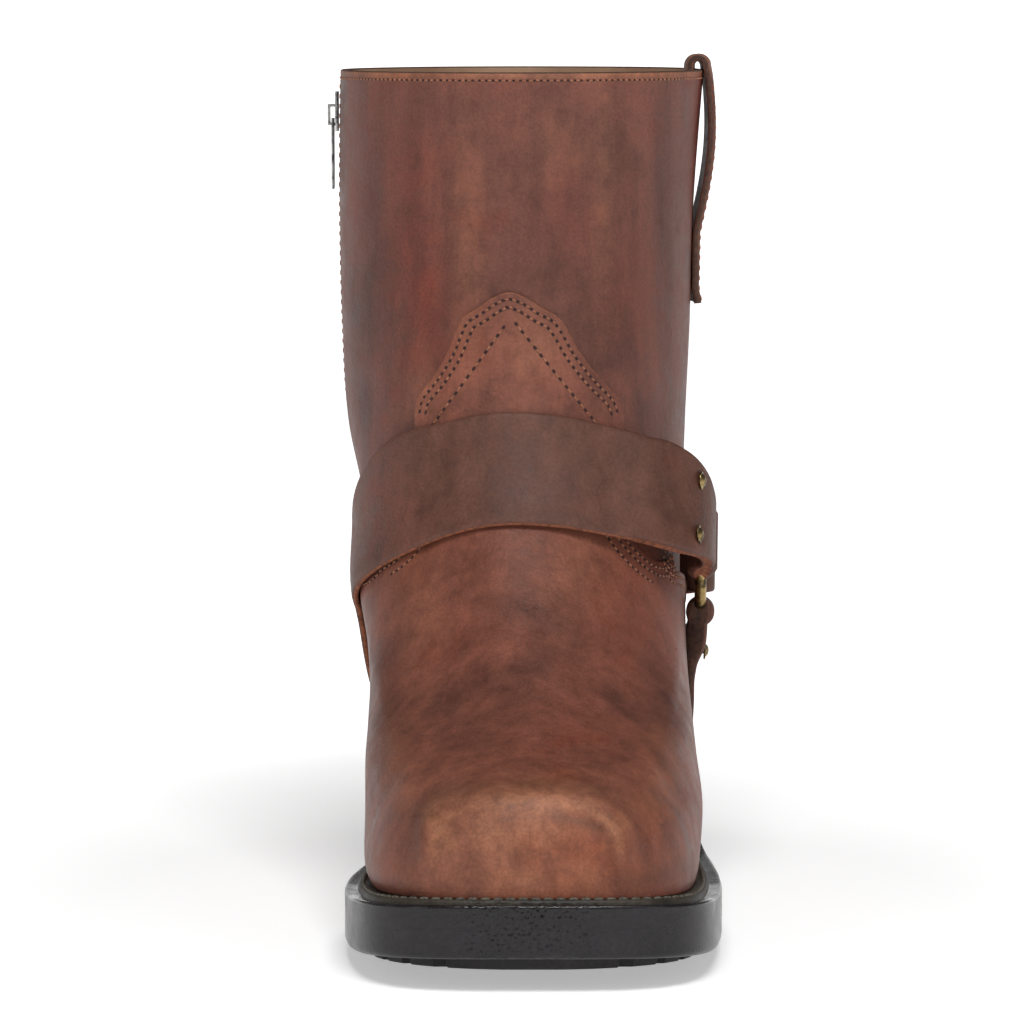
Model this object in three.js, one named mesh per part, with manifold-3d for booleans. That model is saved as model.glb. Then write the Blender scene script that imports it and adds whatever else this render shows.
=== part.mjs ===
// A man's harness-style cowboy ankle boot, left foot, square toe, in millimetres.
// +Z is up, the toe points to -Y and +X is the outer side of the foot.
// The shape functions work in s, the distance back from the toe tip of the sole.
import * as THREE from "three";
import { mergeVertices } from "three/addons/utils/BufferGeometryUtils.js";
import Module from "manifold-3d";

// Overall sizes
const SOLE_LENGTH = 305;
const BALL_WIDTH = 114;
const ANKLE_HEIGHT = 126;
const BOOT_HEIGHT = 262;
const GAP = 0.3;

// Sole unit
const WELT_THICK = 4.8;
const MIDSOLE_THICK = 3.6;
const OUTSOLE_THICK = 8.6;
const TREAD_DEPTH = 3.5;
const TOE_SPRING = 6.8;
const HEEL_LIFT = 22.5;
const WELT_MARGIN = 7.6;
const HEEL_MARGIN = 5.5;
const WELT_LEDGE = 1;
const STRIP_INSET = 4.2;
const STRIP_RISE = 1.4;
const FEATHER_SQUARE = 3.3;
const MIDSOLE_INSET = 0.4;
const OUTSOLE_BEVEL = 1.2;
const INSOLE_ABOVE_WELT = 4;
const TREAD_INSET = 7;
const LUG_PITCH = 11.5;
const LUG_LENGTH = 8;
const TREAD_FRONT = 8;
const TREAD_BACK = 145;
const HEEL_LENGTH = 78;
const HEEL_INSET = 0.6;
const HEEL_TAPER = 2.5;
const HEEL_GROOVE_DEPTH = 2.5;
const HEEL_GROOVE_LENGTH = 7;
const HEEL_GROOVE_BACK = 33;

// Leathers
const WALL = 2.4;
const OVERLAY_THICK = 1.5;
const SEAM_BACK = 224;
const WING_HEIGHT = 99;
const WING_END_HEIGHT = 86;
const TONGUE_TOP = 193;
const TONGUE_FOOT = 118;
const TONGUE_HALF = 32;
const COUNTER_BACK_HEIGHT = 103;
const COUNTER_FRONT_HEIGHT = 60;

// Harness
const RING_RADIUS = 14.5;
const RING_WIRE = 1.9;
const RING_STANDOFF = 6.8;
const RING_BACK = 188;
const RING_HEIGHT = 103;
const STRAP_THICK = 2.4;
const STRAP_END_WIDTH = 19;
const FRONT_STRAP_WIDTH = 36;
const FRONT_STRAP_SLOPE = 0.602;
const HEEL_STRAP_WIDTH = 28;
const HEEL_STRAP_SLOPE = -0.02;
const SOLE_STRAP_WIDTH = 26;
const SOLE_STRAP_LEAN = -1.63;
const FRONT_STRAP_LIFTED = 64;
const HEEL_STRAP_LIFTED = 50;
const SOLE_STRAP_LIFTED = 38;
const FRONT_STRAP_DOUBLED = 50;
const SHORT_STRAP_DOUBLED = 28;
const STUD_RADIUS = 3;
const STUD_HEAD = 1.6;
const STUD_PIN = 1.1;
const FRONT_STUD_REACH = 41;
const FRONT_STUD_SPREAD = 0.58;
const SHORT_STUD_REACH = 27;
const STRAP_OVERLAP = 5;

// Pull strap
const PULL_WIDTH = 26;
const PULL_THICK = 2.4;
const PULL_OUTER_DROP = 75;
const PULL_INNER_DROP = 48;
const PULL_BULGE = 3.2;

// Zip
const ZIP_SLOT_WIDTH = 8;
const ZIP_LENGTH = 141;
const ZIP_CHAIN_WIDTH = 5.6;
const ZIP_CHAIN_THICK = 2;
const ZIP_TAPE_WIDTH = 26;
const ZIP_TAPE_THICK = 0.9;
const ZIP_TAPE_BELOW = 5;
const ZIP_TOP_DROP = 5.7;
const SLIDER_LENGTH = 13;
const SLIDER_WIDTH = 9;
const SLIDER_THICK = 1;
const BRIDGE_LENGTH = 7;
const BRIDGE_WIDTH = 1.8;
const BRIDGE_THICK = 0.9;
const BRIDGE_DROP = 1.2;
const TAB_LENGTH = 23.3;
const TAB_WIDTH = 6.4;
const TAB_THICK = 0.9;
const TAB_CLEAR = 0.4;
const TAB_BAR = 1.2;
const TAB_WINDOW = 3;

const HALF_BALL = BALL_WIDTH / 2;
const STACK = WELT_THICK + MIDSOLE_THICK + OUTSOLE_THICK;
const HEEL_FRONT = SOLE_LENGTH - HEEL_LENGTH;
const OVERLAY_LOW = GAP;
const OVERLAY_HIGH = GAP + OVERLAY_THICK;
const STRAP_LOW = OVERLAY_HIGH + GAP;

const COLOUR = {
  leather: 0x70452f,
  vamp: 0x7d4c38,
  strap: 0x5d3a2c,
  lining: 0xb08a66,
  sole: 0x2b292b,
  brass: 0x8d7749,
  steel: 0x6e6c68,
  tape: 0x3a2a22,
};

// Sections of the upper's outer face, from just above the sole up to the collar.
// front, back: distance from the toe tip, as shares of the sole's length.
// frontRise, backRise: 0 at the sole, 1 at the ankle height, 2 at the boot's height.
// nose, tail: how much of the section its round ends take; noseSquare, tailSquare: their power.
// ridge: how far the top line lies to the outer side, as a share of half the ball width.
// out0 to out4, in0 to in4: half widths at 0, 1/4, 1/2, 3/4 and 1 of the section's length,
// on the outer and the inner side of the foot, as shares of half the ball width.
const COLUMNS = [
  "front", "frontRise", "back", "backRise", "nose", "noseSquare", "tail", "tailSquare", "ridge",
  "out0", "out1", "out2", "out3", "out4", "in0", "in1", "in2", "in3", "in4",
];
const SECTIONS = [
  [0.0325, 0.06, 0.9853, 0.08, 0.155, 2.9, 0.18, 2.3, -0.02,
    0.735, 0.878, 0.835, 0.675, 0.61, 0.715, 0.835, 0.67, 0.605, 0.61],
  [0.0385, 0.17, 0.9885, 0.19, 0.15, 2.8, 0.19, 2.3, -0.02,
    0.63, 0.886, 0.868, 0.72, 0.65, 0.6, 0.835, 0.728, 0.655, 0.65],
  [0.056, 0.255, 0.99, 0.3, 0.13, 2.7, 0.21, 2.25, -0.02,
    0.475, 0.833, 0.874, 0.754, 0.667, 0.44, 0.825, 0.78, 0.693, 0.667],
  [0.098, 0.305, 0.987, 0.42, 0.16, 2.3, 0.23, 2.2, -0.02,
    0.44, 0.807, 0.868, 0.78, 0.684, 0.404, 0.8, 0.82, 0.737, 0.684],
  [0.17, 0.37, 0.98, 0.535, 0.25, 2.1, 0.25, 2.15, -0.03,
    0.474, 0.78, 0.865, 0.798, 0.7, 0.44, 0.785, 0.845, 0.77, 0.7],
  [0.256, 0.49, 0.97, 0.66, 0.33, 2.0, 0.3, 2.1, -0.045,
    0.544, 0.78, 0.865, 0.816, 0.72, 0.51, 0.81, 0.875, 0.81, 0.737],
  [0.341, 0.68, 0.961, 0.81, 0.4, 2.0, 0.35, 2.05, -0.06,
    0.65, 0.807, 0.87, 0.833, 0.754, 0.614, 0.88, 0.92, 0.855, 0.772],
  [0.413, 0.92, 0.954, 1.01, 0.45, 2.0, 0.42, 2.0, -0.07,
    0.754, 0.842, 0.886, 0.86, 0.79, 0.75, 0.91, 0.92, 0.875, 0.815],
  [0.469, 1.16, 0.952, 1.18, 0.5, 2.05, 0.5, 2.05, -0.07,
    0.86, 0.895, 0.909, 0.895, 0.842, 0.91, 1.005, 1.03, 0.985, 0.895],
  [0.498, 1.4, 0.954, 1.4, 0.5, 2.1, 0.5, 2.1, -0.07,
    0.912, 0.93, 0.937, 0.93, 0.895, 0.99, 1.05, 1.065, 1.045, 0.982],
  [0.515, 1.69, 0.957, 1.69, 0.5, 2.1, 0.5, 2.1, -0.07,
    0.945, 0.955, 0.958, 0.955, 0.935, 1.04, 1.07, 1.08, 1.07, 1.04],
  [0.525, 2.0, 0.961, 2.015, 0.5, 2.1, 0.5, 2.1, -0.07,
    1.0, 1.01, 1.015, 1.01, 0.99, 1.05, 1.068, 1.075, 1.065, 1.045],
];

// The sole's own outline, in the same terms.
const SOLE_OUTLINE = {
  nose: 0.16, noseSquare: 3.6, tail: 0.2, tailSquare: 2.35, ridge: 0,
  out0: 0.89, out1: 1.02, out2: 0.945, out3: 0.765, out4: 0.72,
  in0: 0.83, in1: 0.965, in2: 0.745, in3: 0.685, in4: 0.72,
};
// The tread under it has a rounder front.
const TREAD_OUTLINE = { ...SOLE_OUTLINE, nose: 0.2, noseSquare: 2.1 };

// Edge of the vamp's tongue, seen from the front, from its peak down to its foot.
// half: half width, as a share of TONGUE_HALF; drop: share of the way down to TONGUE_FOOT.
const TONGUE = [
  { half: 0, drop: 0 },
  { half: 0.19, drop: 0.04 },
  { half: 0.45, drop: 0.1 },
  { half: 0.53, drop: 0.16 },
  { half: 0.63, drop: 0.25 },
  { half: 0.78, drop: 0.35 },
  { half: 0.95, drop: 0.44 },
  { half: 1.01, drop: 0.49 },
  { half: 1.0, drop: 0.56 },
  { half: 0.86, drop: 0.8 },
  { half: 0.75, drop: 1.0 },
];

const wasm = await Module();
wasm.setup();

const clamp = (v, low, high) => Math.min(high, Math.max(low, v));
const mix = (a, b, t) => a + (b - a) * t;
const smooth = (t) => {
  const c = clamp(t, 0, 1);
  return c * c * (3 - 2 * c);
};
const steps = (count, f) => Array.from({ length: count + 1 }, (_, i) => f(i / count));
const point = (x, y, z) => new THREE.Vector3(x, y, z);

// Smooth curve through evenly spaced values (a Catmull-Rom spline).
function through(values, place) {
  const last = values.length - 1;
  const i = clamp(Math.floor(place), 0, last - 1);
  const u = place - i;
  const p1 = values[i];
  const p2 = values[i + 1];
  const p0 = i > 0 ? values[i - 1] : 2 * p1 - p2;
  const p3 = i + 2 <= last ? values[i + 2] : 2 * p2 - p1;
  const bend = 2 * p0 - 5 * p1 + 4 * p2 - p3;
  const twist = 3 * (p1 - p2) + p3 - p0;
  return p1 + 0.5 * u * (p2 - p0 + u * (bend + u * twist));
}

// Height of the outsole's underside: toe spring, flat forefoot, rise to the heel seat.
const FLAT_FROM = 0.245 * SOLE_LENGTH;
const FLAT_TO = 0.41 * SOLE_LENGTH;
function slabBottom(s) {
  const toe = Math.max(0, (FLAT_FROM - s) / FLAT_FROM);
  const heel = smooth((s - FLAT_TO) / (HEEL_FRONT + 6 - FLAT_TO));
  return TREAD_DEPTH + TOE_SPRING * toe ** 1.4 + HEEL_LIFT * heel;
}
const soleTop = (s) => slabBottom(s) + STACK;
const midsoleBottom = (s) => slabBottom(s) + OUTSOLE_THICK + GAP;
const weltBottom = (s) => slabBottom(s) + OUTSOLE_THICK + MIDSOLE_THICK + GAP;

// Half width of a section at a share of its length; side is 1 outside, -1 inside.
function halfWidth(row, share, side) {
  const word = side > 0 ? "out" : "in";
  const width = through([0, 1, 2, 3, 4].map((i) => row[word + i]), share * 4) * HALF_BALL;
  const nose = Math.max(0, 1 - share / row.nose);
  const tail = Math.max(0, 1 - (1 - share) / row.tail);
  const noseFull = Math.max(0, 1 - nose ** row.noseSquare) ** (1 / row.noseSquare);
  const tailFull = Math.max(0, 1 - tail ** row.tailSquare) ** (1 / row.tailSquare);
  const ridge = row.ridge * HALF_BALL * (1 - smooth(share * 2));
  return ridge + noseFull * tailFull * (side * width - ridge);
}

// The feather line, where upper meets sole, follows the sole's outline inside the welt's margin.
const featherInset = (share) =>
  mix(WELT_MARGIN, HEEL_MARGIN, smooth((share - 0.2) / 0.5)) + OVERLAY_HIGH;
const feather = {
  ...SOLE_OUTLINE,
  front: featherInset(0) / SOLE_LENGTH,
  back: 1 - featherInset(1) / SOLE_LENGTH,
  frontRise: 0,
  backRise: 0,
  noseSquare: FEATHER_SQUARE,
};
for (const word of ["out", "in"]) {
  for (let i = 0; i <= 4; i++) feather[word + i] -= featherInset(i / 4) / HALF_BALL;
}
const rows = [feather, ...SECTIONS.map((r) => Object.fromEntries(COLUMNS.map((c, i) => [c, r[i]])))];
const LAST = rows.length - 1;
const tables = Object.fromEntries(COLUMNS.map((c) => [c, rows.map((r) => r[c])]));

function riseToHeight(rise, base) {
  if (rise <= 1) return mix(base, ANKLE_HEIGHT, rise);
  return mix(ANKLE_HEIGHT, BOOT_HEIGHT, rise - 1);
}

// The section at level t, from 0 at the feather line to LAST at the collar.
const knownSections = new Map();
function section(t) {
  const key = Math.round(t * 1e6);
  if (!knownSections.has(key)) {
    const row = Object.fromEntries(COLUMNS.map((c) => [c, through(tables[c], t)]));
    row.s0 = row.front * SOLE_LENGTH;
    row.s1 = row.back * SOLE_LENGTH;
    row.z0 = riseToHeight(row.frontRise, soleTop(rows[0].front * SOLE_LENGTH));
    row.z1 = riseToHeight(row.backRise, soleTop(rows[0].back * SOLE_LENGTH));
    row.sag = 1 - smooth(t / 5.5);
    knownSections.set(key, row);
  }
  return knownSections.get(key);
}

// A point of the upper's outer face: angle 0 at the toe, 90 degrees outside, 180 at the heel.
function skin(angle, t) {
  const row = section(t);
  const share = (1 - Math.cos(angle)) / 2;
  const side = Math.sin(angle) >= 0 ? 1 : -1;
  const s = mix(row.s0, row.s1, share);
  // Low sections sag with the sole's top, which isn't straight from toe to heel.
  const sink = soleTop(s) - mix(soleTop(row.s0), soleTop(row.s1), share);
  return point(halfWidth(row, share, side), s, mix(row.z0, row.z1, share) + row.sag * sink);
}
function skinNormal(angle, t) {
  const step = 1e-3;
  const low = Math.max(0, t - step);
  const high = Math.min(LAST, t + step);
  const along = skin(angle + step, t).sub(skin(angle - step, t));
  const up = skin(angle, high).sub(skin(angle, low));
  const normal = along.cross(up).normalize();
  // The wall's lower edge is square to the sole.
  normal.z *= smooth(t / 1.2);
  return normal.normalize();
}
const offset = (angle, t, out) => skin(angle, t).addScaledVector(skinNormal(angle, t), out);

function bisect(f, low, high) {
  let a = low;
  let b = high;
  for (let i = 0; i < 30; i++) {
    const middle = (a + b) / 2;
    if (f(middle) < 0) a = middle;
    else b = middle;
  }
  return (a + b) / 2;
}

// The angle and level of the skin's point at a place in the side view.
function sidePlace(s, z, side) {
  const angleAt = (t) => {
    const row = section(t);
    const share = clamp((s - row.s0) / (row.s1 - row.s0), 0, 1);
    return side * Math.acos(1 - 2 * share);
  };
  const t = bisect((level) => skin(angleAt(level), level).z - z, 0, LAST);
  return { angle: angleAt(t), t };
}

// Meshes and solids
function geometryOf(points, faces) {
  const geometry = new THREE.BufferGeometry();
  const places = points.flatMap((p) => [p.x, p.y, p.z]);
  geometry.setAttribute("position", new THREE.Float32BufferAttribute(places, 3));
  geometry.setIndex(faces);
  return mergeVertices(geometry, 1e-3);
}
function toSolid(geometry) {
  const bare = new THREE.BufferGeometry();
  bare.setAttribute("position", geometry.getAttribute("position"));
  if (geometry.index) bare.setIndex(geometry.index);
  const merged = mergeVertices(bare, 1e-3);
  const solidOf = (corners) =>
    new wasm.Manifold(
      new wasm.Mesh({
        numProp: 3,
        vertProperties: new Float32Array(merged.attributes.position.array),
        triVerts: corners,
      }),
    );
  const corners = new Uint32Array(merged.index.array);
  const solid = solidOf(corners);
  if (solid.volume() >= 0) return solid;
  return solidOf(corners.reverse());
}
function fromSolid(solid) {
  const mesh = solid.getMesh();
  const geometry = new THREE.BufferGeometry();
  const places = Array.from({ length: mesh.numVert }, (_, i) =>
    Array.from(mesh.vertProperties.slice(i * mesh.numProp, i * mesh.numProp + 3)),
  ).flat();
  geometry.setAttribute("position", new THREE.Float32BufferAttribute(places, 3));
  geometry.setIndex(Array.from(mesh.triVerts));
  return geometry;
}
function boxSolid(low, high) {
  const geometry = new THREE.BoxGeometry(high.x - low.x, high.y - low.y, high.z - low.z);
  geometry.translate((low.x + high.x) / 2, (low.y + high.y) / 2, (low.z + high.z) / 2);
  return toSolid(geometry);
}

// Closed solid through loops of points, one above the other. A loop starts at the toe and comes
// back to it, so that its points pair up across it.
function stackedSolid(loops) {
  const count = loops[0].length;
  const faces = [];
  for (let start = 0; start < (loops.length - 1) * count; start += count) {
    for (let i = 0; i < count; i++) {
      const next = (i + 1) % count;
      faces.push(start + i, start + next, start + count + next);
      faces.push(start + i, start + count + next, start + count + i);
    }
  }
  const last = (loops.length - 1) * count;
  const across = (k) => (count - k) % count;
  for (let i = 0; i < count / 2; i++) {
    for (const face of [[i, i + 1, across(i + 1)], [i, across(i + 1), across(i)]]) {
      if (new Set(face).size < 3) continue;
      faces.push(face[0], face[2], face[1]);
      faces.push(...face.map((k) => k + last));
    }
  }
  return toSolid(geometryOf(loops.flat(), faces));
}

// Closed wall between two grids of points, columns first; wrap joins the last column to the first.
function wallSolid(outer, inner, wrap = false) {
  const columns = outer.length;
  const levels = outer[0].length;
  const faces = [];
  const at = (layer, i, j) => (layer * columns + (i % columns)) * levels + j;
  const quad = (a, b, c, d) => faces.push(a, b, c, a, c, d);
  const spans = wrap ? columns : columns - 1;
  const top = levels - 1;
  for (let i = 0; i < spans; i++) {
    for (let j = 0; j < top; j++) {
      quad(at(0, i, j), at(0, i + 1, j), at(0, i + 1, j + 1), at(0, i, j + 1));
      quad(at(1, i, j), at(1, i, j + 1), at(1, i + 1, j + 1), at(1, i + 1, j));
    }
    quad(at(0, i + 1, 0), at(0, i, 0), at(1, i, 0), at(1, i + 1, 0));
    quad(at(0, i, top), at(0, i + 1, top), at(1, i + 1, top), at(1, i, top));
  }
  if (!wrap) {
    for (let j = 0; j < top; j++) {
      quad(at(0, 0, j), at(0, 0, j + 1), at(1, 0, j + 1), at(1, 0, j));
      quad(at(0, spans, j + 1), at(0, spans, j), at(1, spans, j), at(1, spans, j + 1));
    }
  }
  return toSolid(geometryOf([...outer.flat(), ...inner.flat()], faces));
}

const boot = new THREE.Group();
function addNode(name, solid, colour, roughness, metalness = 0) {
  const material = new THREE.MeshStandardMaterial({ color: colour, roughness, metalness });
  const mesh = new THREE.Mesh(fromSolid(solid), material);
  mesh.name = name;
  boot.add(mesh);
}

// Sole plates; the upper's columns come first, since the welt's hole follows them.
const AROUND = 36;
const LEVELS = 15;
const columnAngle = (i) => (2 * Math.PI * i) / AROUND;
const OUTLINE_STEPS = 34;
const stationShare = (i) => (1 - Math.cos((Math.PI * i) / OUTLINE_STEPS)) / 2;
function outlinePoint(i, inset, row) {
  const angle = (Math.PI * i) / OUTLINE_STEPS;
  const at = (a) => {
    const share = (1 - Math.cos(a)) / 2;
    const side = Math.sin(a) >= 0 ? 1 : -1;
    return new THREE.Vector2(halfWidth(row, share, side), share * SOLE_LENGTH);
  };
  const along = at(angle + 1e-3).sub(at(angle - 1e-3)).normalize();
  return at(angle).add(new THREE.Vector2(-along.y, along.x).multiplyScalar(inset));
}

// A full plate between two heights; its outline may draw in towards the lower face.
function plate(topAt, bottomAt, inset, lowerInset = inset, row = SOLE_OUTLINE) {
  const loop = (distance, heightAt) =>
    Array.from({ length: 2 * OUTLINE_STEPS }, (_, i) => {
      const p = outlinePoint(i, distance, row);
      return point(p.x, p.y, heightAt(p.y));
    });
  return stackedSolid([loop(inset, topAt), loop(lowerInset, bottomAt)]);
}
// Everything up to a gap above the sole's top, with the same stations as the welt.
function solidBelowUpper() {
  const stations = [-0.1, ...Array.from({ length: OUTLINE_STEPS + 1 }, (_, i) => stationShare(i)), 1.1];
  const line = (z) =>
    stations.map((share) => {
      const s = share * SOLE_LENGTH;
      const height = z === null ? soleTop(s) + GAP : z;
      return [point(-BALL_WIDTH, s, height), point(BALL_WIDTH, s, height)];
    });
  return wallSolid(line(null), line(-1));
}
const belowUpper = solidBelowUpper();
const slabBetween = (from, to) =>
  boxSolid(point(-BALL_WIDTH, from, -1), point(BALL_WIDTH, to, BOOT_HEIGHT));

function makeOutsole() {
  let solid = plate((s) => slabBottom(s) + OUTSOLE_THICK, slabBottom, 0, OUTSOLE_BEVEL);
  const tread = plate(
    (s) => slabBottom(s) + 1,
    (s) => slabBottom(s) - TREAD_DEPTH,
    TREAD_INSET,
    TREAD_INSET,
    TREAD_OUTLINE,
  );
  for (let s = TREAD_FRONT; s + LUG_LENGTH < TREAD_BACK; s += LUG_PITCH) {
    solid = solid.add(tread.intersect(slabBetween(s, s + LUG_LENGTH)));
  }
  return solid;
}
// Upright column whose outline lies inside the upper's lower edge.
function columnInside(inset) {
  const loop = (z) =>
    Array.from({ length: AROUND }, (_, i) => offset(columnAngle(i), 0, -inset).setZ(z));
  return stackedSolid([loop(BOOT_HEIGHT), loop(-1)]);
}
// The welt is a ring: a strip against the upper, and a lower, smooth margin outside it.
function makeWelt() {
  const margin = plate((s) => soleTop(s) - STRIP_RISE, weltBottom, 0);
  const strip = plate(soleTop, (s) => weltBottom(s) + 1, STRIP_INSET);
  return margin.add(strip).subtract(columnInside(WALL + WELT_LEDGE));
}
// The heel stands on two flats, with a shallow groove across between them.
function makeHeel() {
  const block = plate((s) => slabBottom(s) - GAP, () => 0, HEEL_INSET, HEEL_TAPER);
  const grooveFrom = HEEL_FRONT + HEEL_GROOVE_BACK;
  const groove = boxSolid(
    point(-BALL_WIDTH, grooveFrom, -1),
    point(BALL_WIDTH, grooveFrom + HEEL_GROOVE_LENGTH, HEEL_GROOVE_DEPTH),
  );
  return block.intersect(slabBetween(HEEL_FRONT, SOLE_LENGTH + 1)).subtract(groove);
}
addNode("outsole", makeOutsole(), COLOUR.sole, 0.75);
addNode("midsole", plate((s) => weltBottom(s) - GAP, midsoleBottom, MIDSOLE_INSET), COLOUR.sole, 0.6);
addNode("welt", makeWelt(), COLOUR.sole, 0.45);
addNode("heel", makeHeel(), COLOUR.sole, 0.6);

// Upper and the overlays on it, all from one set of columns and levels
const faceAt = (out) =>
  Array.from({ length: AROUND }, (_, i) => steps(LEVELS, (u) => offset(columnAngle(i), u * LAST, out)));
const shell = (low, high) => wallSolid(faceAt(high), faceAt(low), true);

const ZIP_ANGLE = -Math.PI / 2;
const zipCollar = skin(ZIP_ANGLE, LAST);
const zipFoot = zipCollar.z - ZIP_LENGTH;
function makeUpper() {
  const slot = boxSolid(
    point(-2 * HALF_BALL, zipCollar.y - ZIP_SLOT_WIDTH / 2, zipFoot),
    point(0, zipCollar.y + ZIP_SLOT_WIDTH / 2, 2 * BOOT_HEIGHT),
  );
  return shell(-WALL, 0).subtract(slot).subtract(belowUpper);
}
addNode("upper", makeUpper(), COLOUR.leather, 0.62);
// The insole fills the welt's ring and stands a little way up inside the upper.
function makeInsole() {
  const whole = plate((s) => soleTop(s) + INSOLE_ABOVE_WELT, weltBottom, STRIP_INSET);
  return whole.intersect(columnInside(WALL + WELT_LEDGE + GAP));
}
addNode("insole", makeInsole(), COLOUR.lining, 0.8);

function prism(outline, depth, placeOf) {
  const shape = new THREE.Shape(outline.map(([a, b]) => new THREE.Vector2(a, b)));
  const geometry = new THREE.ExtrudeGeometry(shape, { depth, bevelEnabled: false });
  geometry.deleteAttribute("normal");
  geometry.deleteAttribute("uv");
  return toSolid(geometry.applyMatrix4(placeOf));
}
// A prism seen from the side, its outline in s and height.
const axes = (x, y, z) => new THREE.Matrix4().makeBasis(x, y, z);
const sidePrism = (outline, from = -BALL_WIDTH, to = BALL_WIDTH) =>
  prism(outline, to - from, axes(point(0, 1, 0), point(0, 0, 1), point(1, 0, 0)).setPosition(from, 0, 0));
// A prism seen from the front, its outline in x and height, as deep as the instep.
const frontPrism = (outline) =>
  prism(outline, RING_BACK, axes(point(1, 0, 0), point(0, 0, 1), point(0, 1, 0)));

const overlays = shell(OVERLAY_LOW, OVERLAY_HIGH).subtract(belowUpper);
function makeVamp() {
  const wings = sidePrism([
    [-GAP, -1],
    [SEAM_BACK, -1],
    [SEAM_BACK, WING_END_HEIGHT],
    [mix(RING_BACK, SEAM_BACK, 0.4), mix(WING_HEIGHT, WING_END_HEIGHT, 0.5)],
    [mix(RING_BACK, SEAM_BACK, -0.4), WING_HEIGHT - 1],
    [-GAP, WING_HEIGHT],
  ]);
  const centre = section(LAST - 1).ridge * HALF_BALL;
  const right = TONGUE.map(({ half, drop }) => [
    centre + half * TONGUE_HALF,
    mix(TONGUE_TOP, TONGUE_FOOT, drop),
  ]);
  const left = right.slice(1).map(([x, z]) => [2 * centre - x, z]).reverse();
  const foot = TONGUE[TONGUE.length - 1].half * TONGUE_HALF;
  const under = WING_HEIGHT - 1 - GAP;
  const base = [[centre - foot, under], [centre + foot, under]];
  const tongue = frontPrism([...base, ...right.reverse(), ...left.reverse()]);
  return overlays.intersect(wings.add(tongue));
}
function makeCounter() {
  const start = SEAM_BACK + GAP;
  const top = steps(6, (u) => [
    mix(start, SOLE_LENGTH, u),
    mix(COUNTER_FRONT_HEIGHT, COUNTER_BACK_HEIGHT, smooth(u * 1.15)),
  ]);
  return overlays.intersect(sidePrism([[start, -1], ...top, [SOLE_LENGTH, -1]]));
}
addNode("vamp", makeVamp(), COLOUR.vamp, 0.6);
addNode("heel_counter", makeCounter(), COLOUR.leather, 0.6);

// Harness ring: on the outer side, held off the leather in a plane of its own
const ringPlace = sidePlace(RING_BACK, RING_HEIGHT, 1);
const ringNormal = skinNormal(ringPlace.angle, ringPlace.t);
const ringCentre = offset(ringPlace.angle, ringPlace.t, RING_STANDOFF);
const RING_STEPS = 20;
const WIRE_STEPS = 8;
function torus(wire) {
  const geometry = new THREE.TorusGeometry(RING_RADIUS, wire, WIRE_STEPS, RING_STEPS);
  geometry.deleteAttribute("normal");
  geometry.deleteAttribute("uv");
  geometry.applyQuaternion(new THREE.Quaternion().setFromUnitVectors(point(0, 0, 1), ringNormal));
  geometry.translate(ringCentre.x, ringCentre.y, ringCentre.z);
  return toSolid(geometry);
}
addNode("ring", torus(RING_WIRE), COLOUR.brass, 0.4, 0.9);

// Harness straps: each folds round the ring, lies double for a while and then single on the upper
const FOLD_HALF = RING_WIRE + GAP + STRAP_THICK;
const FOLD_ENDS = [0.98, 0.85, 0.55, 0].map((share) => share * FOLD_HALF);
const FOLD_BACK = RING_RADIUS + FOLD_HALF;
const WIDEN_OVER = 42;
const ACROSS = 3;

// Half the thickness of the strap's leather, double near the ring and single further out.
const leatherHalf = (r, doubled) => mix(STRAP_THICK, STRAP_THICK / 2, smooth((r - doubled + 4) / 8));
function foldHalf(r) {
  const share = Math.min(1, Math.abs(r - RING_RADIUS) / FOLD_HALF);
  return Math.sqrt(1 - share * share) * FOLD_HALF;
}
// The strap's middle at a side-view point: on the ring's plane near it, then down on the upper.
function strapMiddle(s, z, r, half, lifted) {
  const { angle, t } = sidePlace(s, z, 1);
  const onSkin = offset(angle, t, STRAP_LOW + half);
  const away = onSkin.clone().sub(ringCentre).dot(ringNormal);
  const blend = smooth((r - FOLD_BACK) / (lifted - FOLD_BACK));
  const normal = ringNormal.clone().lerp(skinNormal(angle, t), blend).normalize();
  return { middle: onSkin.addScaledVector(ringNormal, (blend - 1) * away), normal };
}
const layer = ({ middle, normal }, half) => ({
  low: middle.clone().addScaledVector(normal, -half),
  high: middle.clone().addScaledVector(normal, half),
});
const sideways = (slope) => {
  const across = new THREE.Vector2(-Math.sin(slope), Math.cos(slope));
  return across.multiplyScalar(Math.cos(slope) < 0 ? -1 : 1);
};

// A strap's end on the ring, leaving it in a side-view direction; place(r, c) is at a distance r
// from the ring's centre and a share c of the half width to one side.
function strapEnd({ slope, width, doubled, lifted }, reach) {
  const away = new THREE.Vector2(Math.cos(slope), Math.sin(slope));
  const across = sideways(slope);
  const place = (r, c) => {
    const shift = c * mix(STRAP_END_WIDTH / 2, width / 2, smooth((r - RING_RADIUS) / WIDEN_OVER));
    const s = RING_BACK + away.x * r + across.x * shift;
    const z = RING_HEIGHT + away.y * r + across.y * shift;
    return strapMiddle(s, Math.max(z, soleTop(s) + GAP), r, leatherHalf(r, doubled), lifted);
  };
  const radii = [
    ...FOLD_ENDS.map((d) => RING_RADIUS - d),
    ...FOLD_ENDS.slice(1, -1).reverse().map((d) => RING_RADIUS + d),
    FOLD_BACK,
    ...steps(Math.round((reach - FOLD_BACK) / 7), (u) => mix(FOLD_BACK, reach, u)).slice(1),
  ];
  const sections = radii.map((r) => {
    const flat = r < RING_RADIUS ? 0 : leatherHalf(r, doubled);
    return steps(ACROSS, (u) => layer(place(r, 2 * u - 1), Math.max(flat, foldHalf(r))));
  });
  const lows = sections.map((row) => row.map((k) => k.low));
  const highs = sections.map((row) => row.map((k) => k.high));
  return { place, doubled, solid: wallSolid(highs, lows) };
}

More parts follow.
